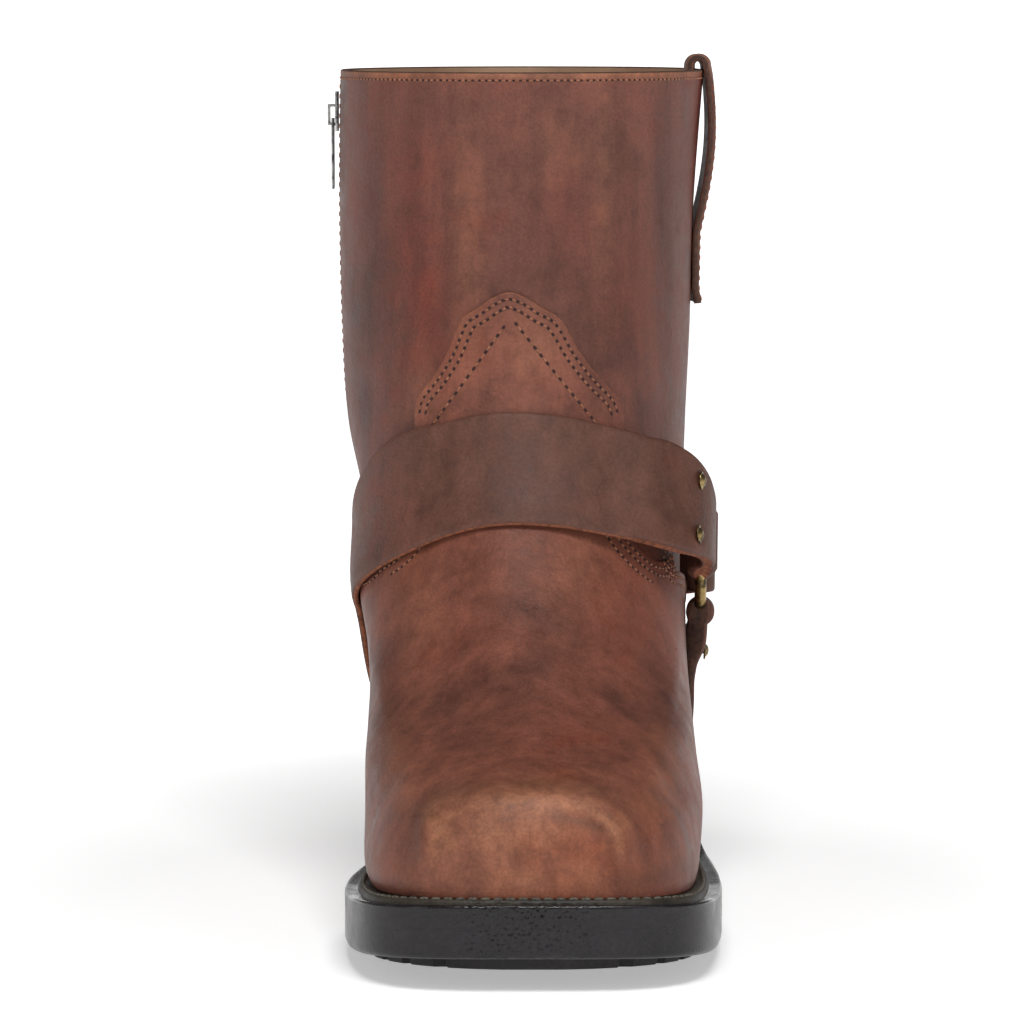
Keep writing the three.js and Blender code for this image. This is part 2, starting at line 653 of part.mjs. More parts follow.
// A domed stud on its pin; the same form, grown by a gap, makes its hole.
const STUD_STEPS = 8;
function studSolid({ seat, normal, depth }, grow) {
  const pin = STUD_PIN + grow;
  const low = -0.75 * depth - grow;
  const profile = [
    [0, low],
    [pin, low],
    [pin, GAP - grow],
    [STUD_RADIUS + grow, GAP - grow],
    [0.75 * STUD_RADIUS + grow, GAP + 0.7 * STUD_HEAD],
    [0, GAP + STUD_HEAD],
  ];
  const geometry = new THREE.LatheGeometry(profile.map(([x, y]) => new THREE.Vector2(x, y)), STUD_STEPS);
  geometry.deleteAttribute("normal");
  geometry.deleteAttribute("uv");
  geometry.applyQuaternion(new THREE.Quaternion().setFromUnitVectors(point(0, 1, 0), normal));
  geometry.translate(seat.x, seat.y, seat.z);
  return toSolid(dropFlatFaces(geometry));
}
// A lathe's faces on its axis have no area, and leave a mesh open unless they are dropped.
function dropFlatFaces(geometry) {
  const merged = mergeVertices(geometry, 1e-3);
  const index = Array.from(merged.index.array);
  const faces = [];
  for (let i = 0; i < index.length; i += 3) {
    const face = index.slice(i, i + 3);
    if (new Set(face).size === 3) faces.push(...face);
  }
  merged.setIndex(faces);
  return merged;
}
const studs = [];
function drillForStud(solid, end, r, c) {
  const { middle, normal } = end.place(r, c);
  const half = leatherHalf(r, end.doubled);
  const stud = { seat: layer({ middle, normal }, half).high, normal, depth: 2 * half };
  studs.push(stud);
  return solid.subtract(studSolid(stud, GAP));
}

const FRONT_STRAP = {
  slope: Math.PI - FRONT_STRAP_SLOPE,
  width: FRONT_STRAP_WIDTH,
  doubled: FRONT_STRAP_DOUBLED,
  lifted: FRONT_STRAP_LIFTED,
};
const HEEL_STRAP = {
  slope: HEEL_STRAP_SLOPE,
  width: HEEL_STRAP_WIDTH,
  doubled: SHORT_STRAP_DOUBLED,
  lifted: HEEL_STRAP_LIFTED,
};
const SOLE_STRAP = {
  slope: SOLE_STRAP_LEAN,
  width: SOLE_STRAP_WIDTH,
  doubled: SHORT_STRAP_DOUBLED,
  lifted: SOLE_STRAP_LIFTED,
};
// A straight run of a strap in the side view, between two distances from the ring's centre and
// from the inner side up to an x.
function run({ slope, width }, from, to, reach) {
  const away = new THREE.Vector2(Math.cos(slope), Math.sin(slope));
  const across = sideways(slope).multiplyScalar(width / 2);
  const corner = (r, sign) => [
    RING_BACK + away.x * r + across.x * sign,
    RING_HEIGHT + away.y * r + across.y * sign,
  ];
  const outline = [corner(from, -1), corner(to, -1), corner(to, 1), corner(from, 1)];
  return sidePrism(outline, -BALL_WIDTH, reach);
}
function disc(radius) {
  const outline = Array.from({ length: 16 }, (_, i) => {
    const turn = (Math.PI * i) / 8;
    return [RING_BACK + radius * Math.cos(turn), RING_HEIGHT + radius * Math.sin(turn)];
  });
  return sidePrism(outline, -BALL_WIDTH, 0);
}
const underStraps = shell(-WALL / 2, STRAP_LOW);
const ringRoom = torus(RING_WIRE + GAP);
// The long strap goes from the ring over the instep, and from the ring round the heel. On the
// inner side its two runs and the leg that goes down to the sole are one flat piece.
function makeHarnessStrap() {
  const far = SOLE_LENGTH;
  const [front, heel] = [FRONT_STRAP, HEEL_STRAP].map((strap) => strapEnd(strap, strap.lifted + STRAP_OVERLAP));
  const runs = [
    run(FRONT_STRAP, FRONT_STRAP_LIFTED, far, BALL_WIDTH),
    run(HEEL_STRAP, HEEL_STRAP_LIFTED, far, BALL_WIDTH),
    run(FRONT_STRAP, 0, far, 0),
    run(HEEL_STRAP, 0, far, 0),
    run(SOLE_STRAP, 0, far, 0),
    disc(FRONT_STRAP_WIDTH / 2),
  ].reduce((whole, part) => whole.add(part));
  let solid = shell(STRAP_LOW, STRAP_LOW + STRAP_THICK).intersect(runs);
  solid = solid.add(front.solid.add(heel.solid).subtract(underStraps));
  solid = solid.subtract(ringRoom).subtract(belowUpper);
  for (const sign of [-1, 1]) {
    solid = drillForStud(solid, front, FRONT_STUD_REACH, sign * FRONT_STUD_SPREAD);
  }
  return drillForStud(solid, heel, SHORT_STUD_REACH, 0);
}
function makeSoleStrap() {
  const reach = RING_HEIGHT - soleTop(RING_BACK) + SOLE_STRAP_WIDTH / 4;
  const end = strapEnd(SOLE_STRAP, reach);
  const solid = end.solid.subtract(underStraps).subtract(belowUpper).subtract(ringRoom);
  return drillForStud(solid, end, SHORT_STUD_REACH, 0);
}
addNode("harness_strap", makeHarnessStrap(), COLOUR.strap, 0.6);
addNode("sole_strap", makeSoleStrap(), COLOUR.strap, 0.6);
studs.forEach((stud, i) => addNode("stud_" + (i + 1), studSolid(stud, 0), COLOUR.brass, 0.4, 0.9));

// Pull strap: over the collar on the outer side
const PULL_ANGLE = Math.PI / 2;
const pullCollar = skin(PULL_ANGLE, LAST);
function pullPlace(c, out, z) {
  const s = pullCollar.y + (c * PULL_WIDTH) / 2;
  const { angle, t } = sidePlace(s, Math.min(z, pullCollar.z - 2), 1);
  const normal = skinNormal(angle, t).setZ(0).normalize();
  return skin(angle, t).addScaledVector(normal, out).setZ(z);
}
function makePullStrap() {
  const half = PULL_THICK / 2;
  const inside = -(WALL + GAP + half);
  const arch = GAP + half + WALL / 2;
  const top = pullCollar.z + half;
  const standOff = (drop) => GAP + half + PULL_BULGE * Math.sin(Math.PI * Math.min(1, drop / 0.7));
  const path = [
    ...steps(4, (u) => [inside, mix(top - PULL_INNER_DROP, top, u)]),
    ...steps(6, (u) => [
      -WALL / 2 - arch * Math.cos(Math.PI * u),
      top + arch * Math.sin(Math.PI * u),
    ]).slice(1),
    ...steps(9, (u) => [standOff(u), top - u * PULL_OUTER_DROP]).slice(1),
  ];
  const at = (i) => new THREE.Vector2(...path[clamp(i, 0, path.length - 1)]);
  const sections = path.map((_, i) => {
    const along = at(i + 1).sub(at(i - 1)).normalize();
    const normal = new THREE.Vector2(-along.y, along.x);
    const side = (sign) => at(i).addScaledVector(normal, sign * half);
    return steps(3, (u) => {
      const [low, high] = [side(-1), side(1)].map((p) => pullPlace(2 * u - 1, p.x, p.y));
      return { low, high };
    });
  });
  const lows = sections.map((row) => row.map((k) => k.low));
  const highs = sections.map((row) => row.map((k) => k.high));
  return wallSolid(highs, lows);
}
addNode("pull_strap", makePullStrap(), COLOUR.strap, 0.6);

// Zip: on the inner side, its tape behind the wall and its teeth in the slot
const zipTop = zipCollar.z - ZIP_TOP_DROP;
const tapeHigh = -WALL - GAP;
function zipBand(width, low, high, from) {
  const band = boxSolid(
    point(-BALL_WIDTH, zipCollar.y - width / 2, from),
    point(0, zipCollar.y + width / 2, zipTop),
  );
  return shell(low, high).intersect(band);
}
const zipTape = zipBand(ZIP_TAPE_WIDTH, tapeHigh - ZIP_TAPE_THICK, tapeHigh, zipFoot - ZIP_TAPE_BELOW);
const teethLow = tapeHigh + GAP;
const zipTeeth = zipBand(ZIP_CHAIN_WIDTH, teethLow, teethLow + ZIP_CHAIN_THICK, zipFoot + GAP);
addNode("zip_tape", zipTape, COLOUR.tape, 0.9);
addNode("zip_teeth", zipTeeth, COLOUR.steel, 0.4, 0.8);

// Slider and pull tab stand on the zip, which is upright here, in a frame that looks outwards.
const sliderMiddle = zipTop - 1.5 - SLIDER_LENGTH / 2;
const sliderBase = skin(ZIP_ANGLE, sidePlace(zipCollar.y, sliderMiddle, -1).t).x;
const zipBox = (outFrom, outTo, width, zFrom, zTo) =>
  boxSolid(
    point(sliderBase - outTo, zipCollar.y - width / 2, zFrom),
    point(sliderBase - outFrom, zipCollar.y + width / 2, zTo),
  );
const plateLow = 2 * GAP;
const plateHigh = plateLow + SLIDER_THICK;
const tabLow = plateHigh + TAB_CLEAR;
const tabHigh = tabLow + TAB_THICK;
const bridgeLow = tabHigh + TAB_CLEAR;
const bridgeHigh = bridgeLow + BRIDGE_THICK;
const bridgeFoot = sliderMiddle - BRIDGE_LENGTH / 2 - BRIDGE_DROP;
const tabAxis = bridgeFoot + BRIDGE_THICK + TAB_CLEAR + TAB_BAR / 2;
function makeSlider() {
  const bridge = zipBox(plateLow, bridgeHigh, BRIDGE_WIDTH, bridgeFoot, bridgeFoot + BRIDGE_LENGTH);
  const hole = zipBox(
    plateHigh,
    bridgeLow,
    2 * BRIDGE_WIDTH,
    bridgeFoot + BRIDGE_THICK,
    bridgeFoot + BRIDGE_LENGTH - BRIDGE_THICK,
  );
  const half = SLIDER_LENGTH / 2;
  const body = zipBox(plateLow, plateHigh, SLIDER_WIDTH, sliderMiddle - half, sliderMiddle + half);
  return body.add(bridge.subtract(hole));
}
function makeTab() {
  const tabTop = tabAxis + TAB_BAR / 2;
  const body = zipBox(tabLow, tabHigh, TAB_WIDTH, tabTop - TAB_LENGTH, tabTop);
  const window = zipBox(
    tabLow - 1,
    tabHigh + 1,
    BRIDGE_WIDTH + 2 * TAB_CLEAR,
    tabTop - TAB_BAR - TAB_WINDOW,
    tabTop - TAB_BAR,
  );
  return body.subtract(window);
}
addNode("zip_slider", makeSlider(), COLOUR.steel, 0.4, 0.8);
addNode("zip_pull", makeTab(), COLOUR.steel, 0.4, 0.8);

// The origin is under the middle of the whole boot, on the ground.
const extent = new THREE.Box3().setFromObject(boot);
boot.position.set(
  -(extent.min.x + extent.max.x) / 2,
  -(extent.min.y + extent.max.y) / 2,
  -extent.min.z,
);

export default boot;
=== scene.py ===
"""Left square-toe harness boot: leather, straps, metalwork, zip and sole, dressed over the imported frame."""

import math

import bpy
import numpy as np
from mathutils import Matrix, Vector


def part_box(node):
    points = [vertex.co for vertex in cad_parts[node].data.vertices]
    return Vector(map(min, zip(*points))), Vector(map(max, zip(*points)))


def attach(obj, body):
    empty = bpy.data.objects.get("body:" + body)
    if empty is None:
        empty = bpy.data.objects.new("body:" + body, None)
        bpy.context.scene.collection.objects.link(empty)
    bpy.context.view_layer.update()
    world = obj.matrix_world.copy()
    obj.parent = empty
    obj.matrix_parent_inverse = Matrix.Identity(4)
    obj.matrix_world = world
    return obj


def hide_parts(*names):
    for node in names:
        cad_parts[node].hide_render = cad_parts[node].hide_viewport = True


bl_info = {
    "name": "Harness Boot",
    "version": (1, 0, 0),
    "blender": (4, 5, 0),
    "location": "3D View > Sidebar > Harness Boot",
    "description": "Makes the leather, straps, metalwork, zip and sole of a harness boot",
    "category": "Add Mesh",
}

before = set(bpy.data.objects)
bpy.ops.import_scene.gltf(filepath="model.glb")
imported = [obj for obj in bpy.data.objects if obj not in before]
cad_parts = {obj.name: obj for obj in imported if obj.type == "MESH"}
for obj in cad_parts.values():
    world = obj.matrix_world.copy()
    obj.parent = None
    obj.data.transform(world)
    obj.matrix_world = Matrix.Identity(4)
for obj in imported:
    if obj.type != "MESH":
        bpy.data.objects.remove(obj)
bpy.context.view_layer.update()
BOOT = "boot"
TAB = "zip_tab"
MM = 0.001

# Sizes of the boot, in millimetres. s is the distance back from the sole's toe tip.
OUTSOLE_LOW, OUTSOLE_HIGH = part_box("outsole")
SOLE_LENGTH = (OUTSOLE_HIGH.y - OUTSOLE_LOW.y) / MM
HALF_BALL = 57.0
ANKLE_HEIGHT = 126.0
BOOT_HEIGHT = 262.0
GAP = 0.3
WELT_THICK = 4.8
MIDSOLE_THICK = 3.6
OUTSOLE_THICK = 8.6
STACK = WELT_THICK + MIDSOLE_THICK + OUTSOLE_THICK
TREAD_DEPTH = 3.5
TOE_SPRING = 6.8
HEEL_LIFT = 22.5
HEEL_FRONT = SOLE_LENGTH - 78.0
WELT_MARGIN = 7.6
HEEL_MARGIN = 5.5
STRIP_INSET = 4.2
STRIP_RISE = 1.4
TREAD_INSET = 7.0
LUG_PITCH = 11.5
LUG_LENGTH = 8.0
TREAD_FRONT = 8.0
TREAD_BACK = 145.0
HEEL_GROOVE_DEPTH = 2.5
HEEL_GROOVE = (HEEL_FRONT + 33.0, HEEL_FRONT + 40.0)
WALL = 2.4
OVERLAY_THICK = 1.5
OVERLAY_HIGH = GAP + OVERLAY_THICK
SEAM_BACK = 224.0
WING_HEIGHT = 99.0
WING_END_HEIGHT = 86.0
TONGUE_TOP = 193.0
TONGUE_FOOT = 118.0
TONGUE_HALF = 32.0
COUNTER_BACK_HEIGHT = 103.0
COUNTER_FRONT_HEIGHT = 60.0
RING_RADIUS = 14.5
RING_WIRE = 1.9
RING_STANDOFF = 6.8
RING_BACK = 188.0
RING_HEIGHT = 103.0
STRAP_THICK = 2.4
STRAP_LOW = OVERLAY_HIGH + GAP
INSTEP_SPREAD = 1.4
INSTEP_DROOP = 1.9
INNER_RISE = 2.3
RING_BOW = 2.4
FOLD_HALF = RING_WIRE + GAP + STRAP_THICK
FOLD_BACK = RING_RADIUS + FOLD_HALF
PULL_WIDTH = 26.0
PULL_THICK = 2.4
PULL_OUTER_DROP = 77.5
PULL_INNER_DROP = 48.0
PULL_BULGE = 3.2
ZIP_SLOT_HALF = 4.0
ZIP_LENGTH = 141.0
ZIP_TAPE_HALF = 13.0
ZIP_TAPE_THICK = 0.9
ZIP_TOP_DROP = 5.7
TOOTH_PITCH = 2.0
STUD_RADIUS = 3.0
STUD_HEAD = 1.6

# Each strap that leaves the ring: direction in the side view, half width, how far out from the
# ring it lies double, and where it has come down on the boot.
STRAPS = {
    "front": {"slope": math.pi - 0.602, "half": 18.0, "end_half": 10.8, "widens": 30.0, "doubled": 50.0, "lifted": 64.0},
    "heel": {"slope": -0.02, "half": 14.0, "end_half": 9.5, "widens": 42.0, "doubled": 28.0, "lifted": 50.0},
    "sole": {"slope": -1.63, "half": 13.0, "end_half": 9.5, "widens": 42.0, "doubled": 28.0, "lifted": 38.0},
}
STUDS = {"stud_1": ("front", 37, -0.6), "stud_2": ("front", 37, 0.6), "stud_3": ("heel", 27, 0), "stud_4": ("sole", 27, 0)}

# Sections of the upper, from the sole up to the collar, as shares: front and back along the
# sole, their rises (1 is the ankle, 2 the collar), how its round ends are shaped, the ridge's
# lean, and half widths at five places on the outer and the inner side.
COLUMNS = (
    "front", "frontRise", "back", "backRise", "nose", "noseSquare", "tail", "tailSquare", "ridge",
    "out0", "out1", "out2", "out3", "out4", "in0", "in1", "in2", "in3", "in4",
)
SECTIONS = (
    (0.0325, 0.06, 0.9853, 0.08, 0.155, 2.9, 0.18, 2.3, -0.02,
     0.735, 0.878, 0.835, 0.675, 0.61, 0.715, 0.835, 0.67, 0.605, 0.61),
    (0.0385, 0.17, 0.9885, 0.19, 0.15, 2.8, 0.19, 2.3, -0.02,
     0.63, 0.886, 0.868, 0.72, 0.65, 0.6, 0.835, 0.728, 0.655, 0.65),
    (0.056, 0.255, 0.99, 0.3, 0.13, 2.7, 0.21, 2.25, -0.02,
     0.475, 0.833, 0.874, 0.754, 0.667, 0.44, 0.825, 0.78, 0.693, 0.667),
    (0.098, 0.305, 0.987, 0.42, 0.16, 2.3, 0.23, 2.2, -0.02,
     0.44, 0.807, 0.868, 0.78, 0.684, 0.404, 0.8, 0.82, 0.737, 0.684),
    (0.17, 0.37, 0.98, 0.535, 0.25, 2.1, 0.25, 2.15, -0.03,
     0.474, 0.78, 0.865, 0.798, 0.7, 0.44, 0.785, 0.845, 0.77, 0.7),
    (0.256, 0.49, 0.97, 0.66, 0.33, 2.0, 0.3, 2.1, -0.045,
     0.544, 0.78, 0.865, 0.816, 0.72, 0.51, 0.81, 0.875, 0.81, 0.737),
    (0.341, 0.68, 0.961, 0.81, 0.4, 2.0, 0.35, 2.05, -0.06,
     0.65, 0.807, 0.87, 0.833, 0.754, 0.614, 0.88, 0.92, 0.855, 0.772),
    (0.413, 0.92, 0.954, 1.01, 0.45, 2.0, 0.42, 2.0, -0.07,
     0.754, 0.842, 0.886, 0.86, 0.79, 0.75, 0.91, 0.92, 0.875, 0.815),
    (0.469, 1.16, 0.952, 1.18, 0.5, 2.05, 0.5, 2.05, -0.07,
     0.86, 0.895, 0.909, 0.895, 0.842, 0.91, 1.005, 1.03, 0.985, 0.895),
    (0.498, 1.4, 0.954, 1.4, 0.5, 2.1, 0.5, 2.1, -0.07,
     0.912, 0.93, 0.937, 0.93, 0.895, 0.99, 1.05, 1.065, 1.045, 0.982),
    (0.515, 1.69, 0.957, 1.69, 0.5, 2.1, 0.5, 2.1, -0.07,
     0.945, 0.955, 0.958, 0.955, 0.935, 1.04, 1.07, 1.08, 1.07, 1.04),
    (0.525, 2.0, 0.961, 2.015, 0.5, 2.1, 0.5, 2.1, -0.07,
     1.0, 1.01, 1.015, 1.01, 0.99, 1.05, 1.068, 1.075, 1.065, 1.045),
)
SOLE_OUTLINE = {
    "nose": 0.16, "noseSquare": 3.6, "tail": 0.2, "tailSquare": 2.35, "ridge": 0.0,
    "out0": 0.89, "out1": 1.02, "out2": 0.945, "out3": 0.765, "out4": 0.72,
    "in0": 0.83, "in1": 0.965, "in2": 0.745, "in3": 0.685, "in4": 0.72,
}
TREAD_OUTLINE = {**SOLE_OUTLINE, "nose": 0.2, "noseSquare": 2.1}

# Edge of the vamp's tongue from its peak down: half width and drop, as shares.
TONGUE_HALVES = (0, 0.17, 0.3, 0.45, 0.535, 0.625, 0.775, 0.94, 1.0)
TONGUE_DROPS = (0, 0.026, 0.065, 0.105, 0.165, 0.25, 0.35, 0.44, 0.52)
TONGUE_LEAN = (-1.9, 1.2)

# The vamp's edge below the tongue: in the front view from the hips, as sideways place and
# height, then in the side view back to the seam, as s and height.
WING_FRONT = {
    -1: ((-34.0, 121), (-36, 117), (-40, 112.5), (-45, 108.5)),
    1: ((26.5, 123), (29.5, 117.5), (34, 112), (39.5, 107.8), (45, 107.3)),
}
WING_SIDE = ((160, 105), (178, 101), (200, 94), (SEAM_BACK, WING_END_HEIGHT))
TONGUE_DARTS = (((-7.5, 182), (-29, 151)), ((-3.7, 183), (21, 151)))


# The toe's plateau in the front view: middle, half width, foot, height and how proud its edge is.
TOE_PLATEAU = (-1.0, 27.5, 36.0, 17.0, 1.2)


def smooth(t):
    c = np.clip(t, 0.0, 1.0)
    return c * c * (3 - 2 * c)


def mix(a, b, t):
    return a + (b - a) * t


def unit(v):
    return v / np.maximum(np.linalg.norm(v, axis=-1, keepdims=True), 1e-12)


def through(values, place):
    """Smooth curve through evenly spaced values, which may differ from point to point."""
    place = np.asarray(place, float)
    values = np.asarray(values, float)
    last = len(values) - 1
    i = np.clip(np.floor(place).astype(int), 0, last - 1)
    u = place - i

    def pick(k):
        if values.ndim == 1:
            return values[k]
        return np.take_along_axis(values, k[None], axis=0)[0]

    p1 = pick(i)
    p2 = pick(i + 1)
    p0 = np.where(i > 0, pick(np.maximum(i - 1, 0)), 2 * p1 - p2)
    p3 = np.where(i + 2 <= last, pick(np.minimum(i + 2, last)), 2 * p2 - p1)
    bend = 2 * p0 - 5 * p1 + 4 * p2 - p3
    twist = 3 * (p1 - p2) + p3 - p0
    return p1 + 0.5 * u * (p2 - p0 + u * (bend + u * twist))


# Heights of the sole
FLAT_FROM = 0.245 * SOLE_LENGTH
FLAT_TO = 0.41 * SOLE_LENGTH


def slab_bottom(s):
    toe = np.maximum(0, (FLAT_FROM - s) / FLAT_FROM)
    heel = smooth((s - FLAT_TO) / (HEEL_FRONT + 6 - FLAT_TO))
    return TREAD_DEPTH + TOE_SPRING * toe ** 1.4 + HEEL_LIFT * heel


def sole_top(s):
    return slab_bottom(s) + STACK


def half_width(row, share, side):
    """Signed half width of a section at a share of its length; side is 1 outside, -1 inside."""
    shape = np.broadcast_shapes(np.shape(share), np.shape(row["nose"]))
    share = np.broadcast_to(share, shape)
    table = np.stack([np.where(side > 0, row[f"out{i}"], row[f"in{i}"]) for i in range(5)])
    width = through(np.broadcast_to(table, (5, *shape)), share * 4) * HALF_BALL
    nose = np.maximum(0, 1 - share / row["nose"])
    tail = np.maximum(0, 1 - (1 - share) / row["tail"])
    nose_full = np.maximum(0, 1 - nose ** row["noseSquare"]) ** (1 / row["noseSquare"])
    tail_full = np.maximum(0, 1 - tail ** row["tailSquare"]) ** (1 / row["tailSquare"])
    ridge = row["ridge"] * HALF_BALL * (1 - smooth(share * 2))
    return ridge + nose_full * tail_full * (side * width - ridge)


def feather_inset(share):
    return mix(WELT_MARGIN, HEEL_MARGIN, smooth((share - 0.2) / 0.5)) + OVERLAY_HIGH


def section_tables():
    feather = {
        **SOLE_OUTLINE,
        "front": feather_inset(0) / SOLE_LENGTH,
        "back": 1 - feather_inset(1) / SOLE_LENGTH,
        "frontRise": 0.0,
        "backRise": 0.0,
        "noseSquare": 3.3,
    }
    for word in ("out", "in"):
        for i in range(5):
            feather[word + str(i)] -= feather_inset(i / 4) / HALF_BALL
    rows = [feather] + [dict(zip(COLUMNS, row)) for row in SECTIONS]
    return {c: np.array([row[c] for row in rows]) for c in COLUMNS}


TABLES = section_tables()
LAST = len(SECTIONS)
FINE_LEVELS = np.linspace(0, LAST, LAST * 256 + 1)
FINE_TABLES = {c: through(TABLES[c], FINE_LEVELS) for c in COLUMNS}


def rise_to_height(rise, base):
    low = mix(base, ANKLE_HEIGHT, rise)
    return np.where(rise <= 1, low, mix(ANKLE_HEIGHT, BOOT_HEIGHT, rise - 1))


def section(t):
    row = {c: np.interp(t, FINE_LEVELS, FINE_TABLES[c]) for c in COLUMNS}
    row["s0"] = row["front"] * SOLE_LENGTH
    row["s1"] = row["back"] * SOLE_LENGTH
    row["z0"] = rise_to_height(row["frontRise"], sole_top(TABLES["front"][0] * SOLE_LENGTH))
    row["z1"] = rise_to_height(row["backRise"], sole_top(TABLES["back"][0] * SOLE_LENGTH))
    row["sag"] = 1 - smooth(t / 5.5)
    return row


def skin(angle, t):
    """The upper's outer face: angle 0 at the toe, a quarter turn outside, a half turn at the heel."""
    angle, t = np.broadcast_arrays(np.asarray(angle, float), np.asarray(t, float))
    row = section(t)
    share = (1 - np.cos(angle)) / 2
    side = np.where(np.sin(angle) >= 0, 1.0, -1.0)
    s = mix(row["s0"], row["s1"], share)
    sink = sole_top(s) - mix(sole_top(row["s0"]), sole_top(row["s1"]), share)
    z = mix(row["z0"], row["z1"], share) + row["sag"] * sink
    return np.stack([half_width(row, share, side), s, z], axis=-1)


def skin_normal(angle, t):
    step = 1e-3
    along = skin(angle + step, t) - skin(angle - step, t)
    up = skin(angle, np.minimum(t + step, LAST)) - skin(angle, np.maximum(t - step, 0))
    normal = unit(np.cross(along, up))
    normal[..., 2] *= smooth(np.asarray(t) / 1.2)
    return unit(normal)


# Folds and ridges, in millimetres: s, sideways place and height of the middle,
# half sizes along them, and depth, below nought for a trough.
CREASES = (
    (72, -12, 78, 5, 34, 5, -0.7), (82, 6, 88, 4.5, 30, 4.5, -0.8), (93, -4, 97, 5, 36, 5, -0.9), (77, -2, 83, 3, 30, 3, 0.45),
    (88, 0, 93, 3, 30, 3, 0.5), (62, -34, 58, 6, 8, 10, -0.6), (60, 38, 56, 6, 8, 10, -0.6), (140, -40, 118, 10, 12, 7, -0.6),
    (130, -36, 172, 12, 10, 9, -0.8), (128, 30, 168, 12, 12, 8, -0.7), (150, 46, 128, 14, 10, 8, -0.6), (135, 10, 215, 30, 8, 26, -0.7),
    (150, -30, 225, 30, 7, 30, -0.7), (240, 20, 128, 30, 30, 7, -1.4), (250, 10, 142, 30, 30, 5, 0.9), (235, -25, 122, 25, 25, 6, -1.1),
    (285, 0, 150, 12, 40, 9, -1.0),
)


def plateau(x, s, z):
    """Distance from the middle of the toe's plateau, 1 at its edge, and how much a place belongs to it."""
    u = np.abs((x - TOE_PLATEAU[0]) / TOE_PLATEAU[1])
    v = np.clip((z - TOE_PLATEAU[2]) / TOE_PLATEAU[3], 0, None)
    return (u ** 3 + v ** 3) ** (1 / 3), (1 - smooth((s - 45) / 20)) * smooth((z - 29) / 12)


def relief(place):
    """How far the leather stands out from its last: flex creases, folds and the toe's plateau."""
    x, s, z = place[..., 0], place[..., 1], place[..., 2]
    total = np.zeros(x.shape)
    for s0, x0, z0, along, across, up, depth in CREASES:
        total += depth * np.exp(-(((s - s0) / along) ** 2 + ((x - x0) / across) ** 2 + ((z - z0) / up) ** 2))
    reach, toe = plateau(x, s, z)
    return total + toe * (TOE_PLATEAU[4] * np.exp(-(((reach - 1) / 0.12) ** 2)) - 0.4 * np.exp(-((reach / 0.7) ** 4)))


def offset(angle, t, out):
    angle, t, out = np.broadcast_arrays(np.asarray(angle, float), np.asarray(t, float), np.asarray(out, float))
    place = skin(angle, t)
    return place + skin_normal(angle, t) * (out + relief(place))[..., None]


def bisect(f, low, high):
    """Where a rising function of arrays crosses nought."""
    for _ in range(26):
        middle = (low + high) / 2
        below = f(middle) < 0
        low = np.where(below, middle, low)
        high = np.where(below, high, middle)
    return (low + high) / 2


def angle_at(s, t, side):
    row = section(t)
    share = np.clip((s - row["s0"]) / (row["s1"] - row["s0"]), 0, 1)
    return side * np.arccos(1 - 2 * share)


def side_place(s, z, side):
    s, z = np.broadcast_arrays(np.asarray(s, float), np.asarray(z, float))
    t = bisect(lambda level: skin(angle_at(s, level, side), level)[..., 2] - z, np.zeros(s.shape), np.full(s.shape, float(LAST)))
    return angle_at(s, t, side), t


# Where the part's frame puts the boot
def sole_outline(count, inset, row=SOLE_OUTLINE):
    """Plan of the sole, drawn in by an inset that may change along it, as a closed loop."""
    angle = np.linspace(0, 2 * math.pi, count, endpoint=False)

    def at(a):
        share = (1 - np.cos(a)) / 2
        side = np.where(np.sin(a) >= 0, 1.0, -1.0)
        return np.stack([half_width(row, share, side), share * SOLE_LENGTH], axis=-1)

    along = unit(at(angle + 1e-3) - at(angle - 1e-3))
    inward = np.stack([-along[:, 1], along[:, 0]], axis=-1)
    return at(angle) + inward * np.broadcast_to(inset, angle.shape)[:, None]


SHIFT = np.array([
    OUTSOLE_HIGH.x / MM - sole_outline(720, 0)[:, 0].max(),
    OUTSOLE_LOW.y / MM,
    0.0,
])


def mesh_piece(name, points, faces, materials, slots=None, wear_and_light=True, body=BOOT):
    """A smooth-shaded piece from points in the boot's own millimetres."""
    mesh = bpy.data.meshes.new(name)
    world = (np.asarray(points, float).reshape(-1, 3) + SHIFT) * MM
    mesh.from_pydata(world.tolist(), [], [tuple(f) for f in faces])
    for material in materials:
        mesh.materials.append(material)
    if slots is not None:
        mesh.polygons.foreach_set("material_index", np.asarray(slots, np.int32))
    mesh.polygons.foreach_set("use_smooth", np.ones(len(mesh.polygons), bool))
    mesh.validate()
    mesh.update()
    piece = bpy.data.objects.new(name, mesh)
    bpy.context.scene.collection.objects.link(piece)
    # Paints the pale, dark and red marks: the leather's own tone and wear, with painted highlights and painted shade.
    if wear_and_light:
        paint_wear_and_light(mesh, np.asarray(points, float).reshape(-1, 3))
    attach(piece, body)
    return piece


def used_points(points, faces):
    """The same mesh without the points that no face uses."""
    used, index = np.unique(np.concatenate([np.asarray(f) for f in faces]), return_inverse=True)
    return points[used], [tuple(f) for f in index.reshape(-1, 4)]


def grid_faces(columns, rows, wrap_columns=False, wrap_rows=False, start=0):
    faces = []
    for i in range(columns if wrap_columns else columns - 1):
        for j in range(rows if wrap_rows else rows - 1):
            i2 = (i + 1) % columns
            j2 = (j + 1) % rows
            faces.append((start + i * rows + j, start + i2 * rows + j, start + i2 * rows + j2, start + i * rows + j2))
    return faces


def thicken(piece, thickness, round_edge, rim_slot=1, back_slot=1):
    """Gives a face its leather's thickness, inwards, and rounds the cut edges."""
    solid = piece.modifiers.new("thickness", "SOLIDIFY")
    solid.thickness = thickness * MM
    solid.offset = -1
    solid.material_offset = back_slot
    solid.material_offset_rim = rim_slot
    bevel = piece.modifiers.new("round_edge", "BEVEL")
    bevel.width = round_edge * MM
    bevel.segments = 2
    bevel.limit_method = "ANGLE"
    bevel.angle_limit = math.radians(50)
    bevel.material = rim_slot
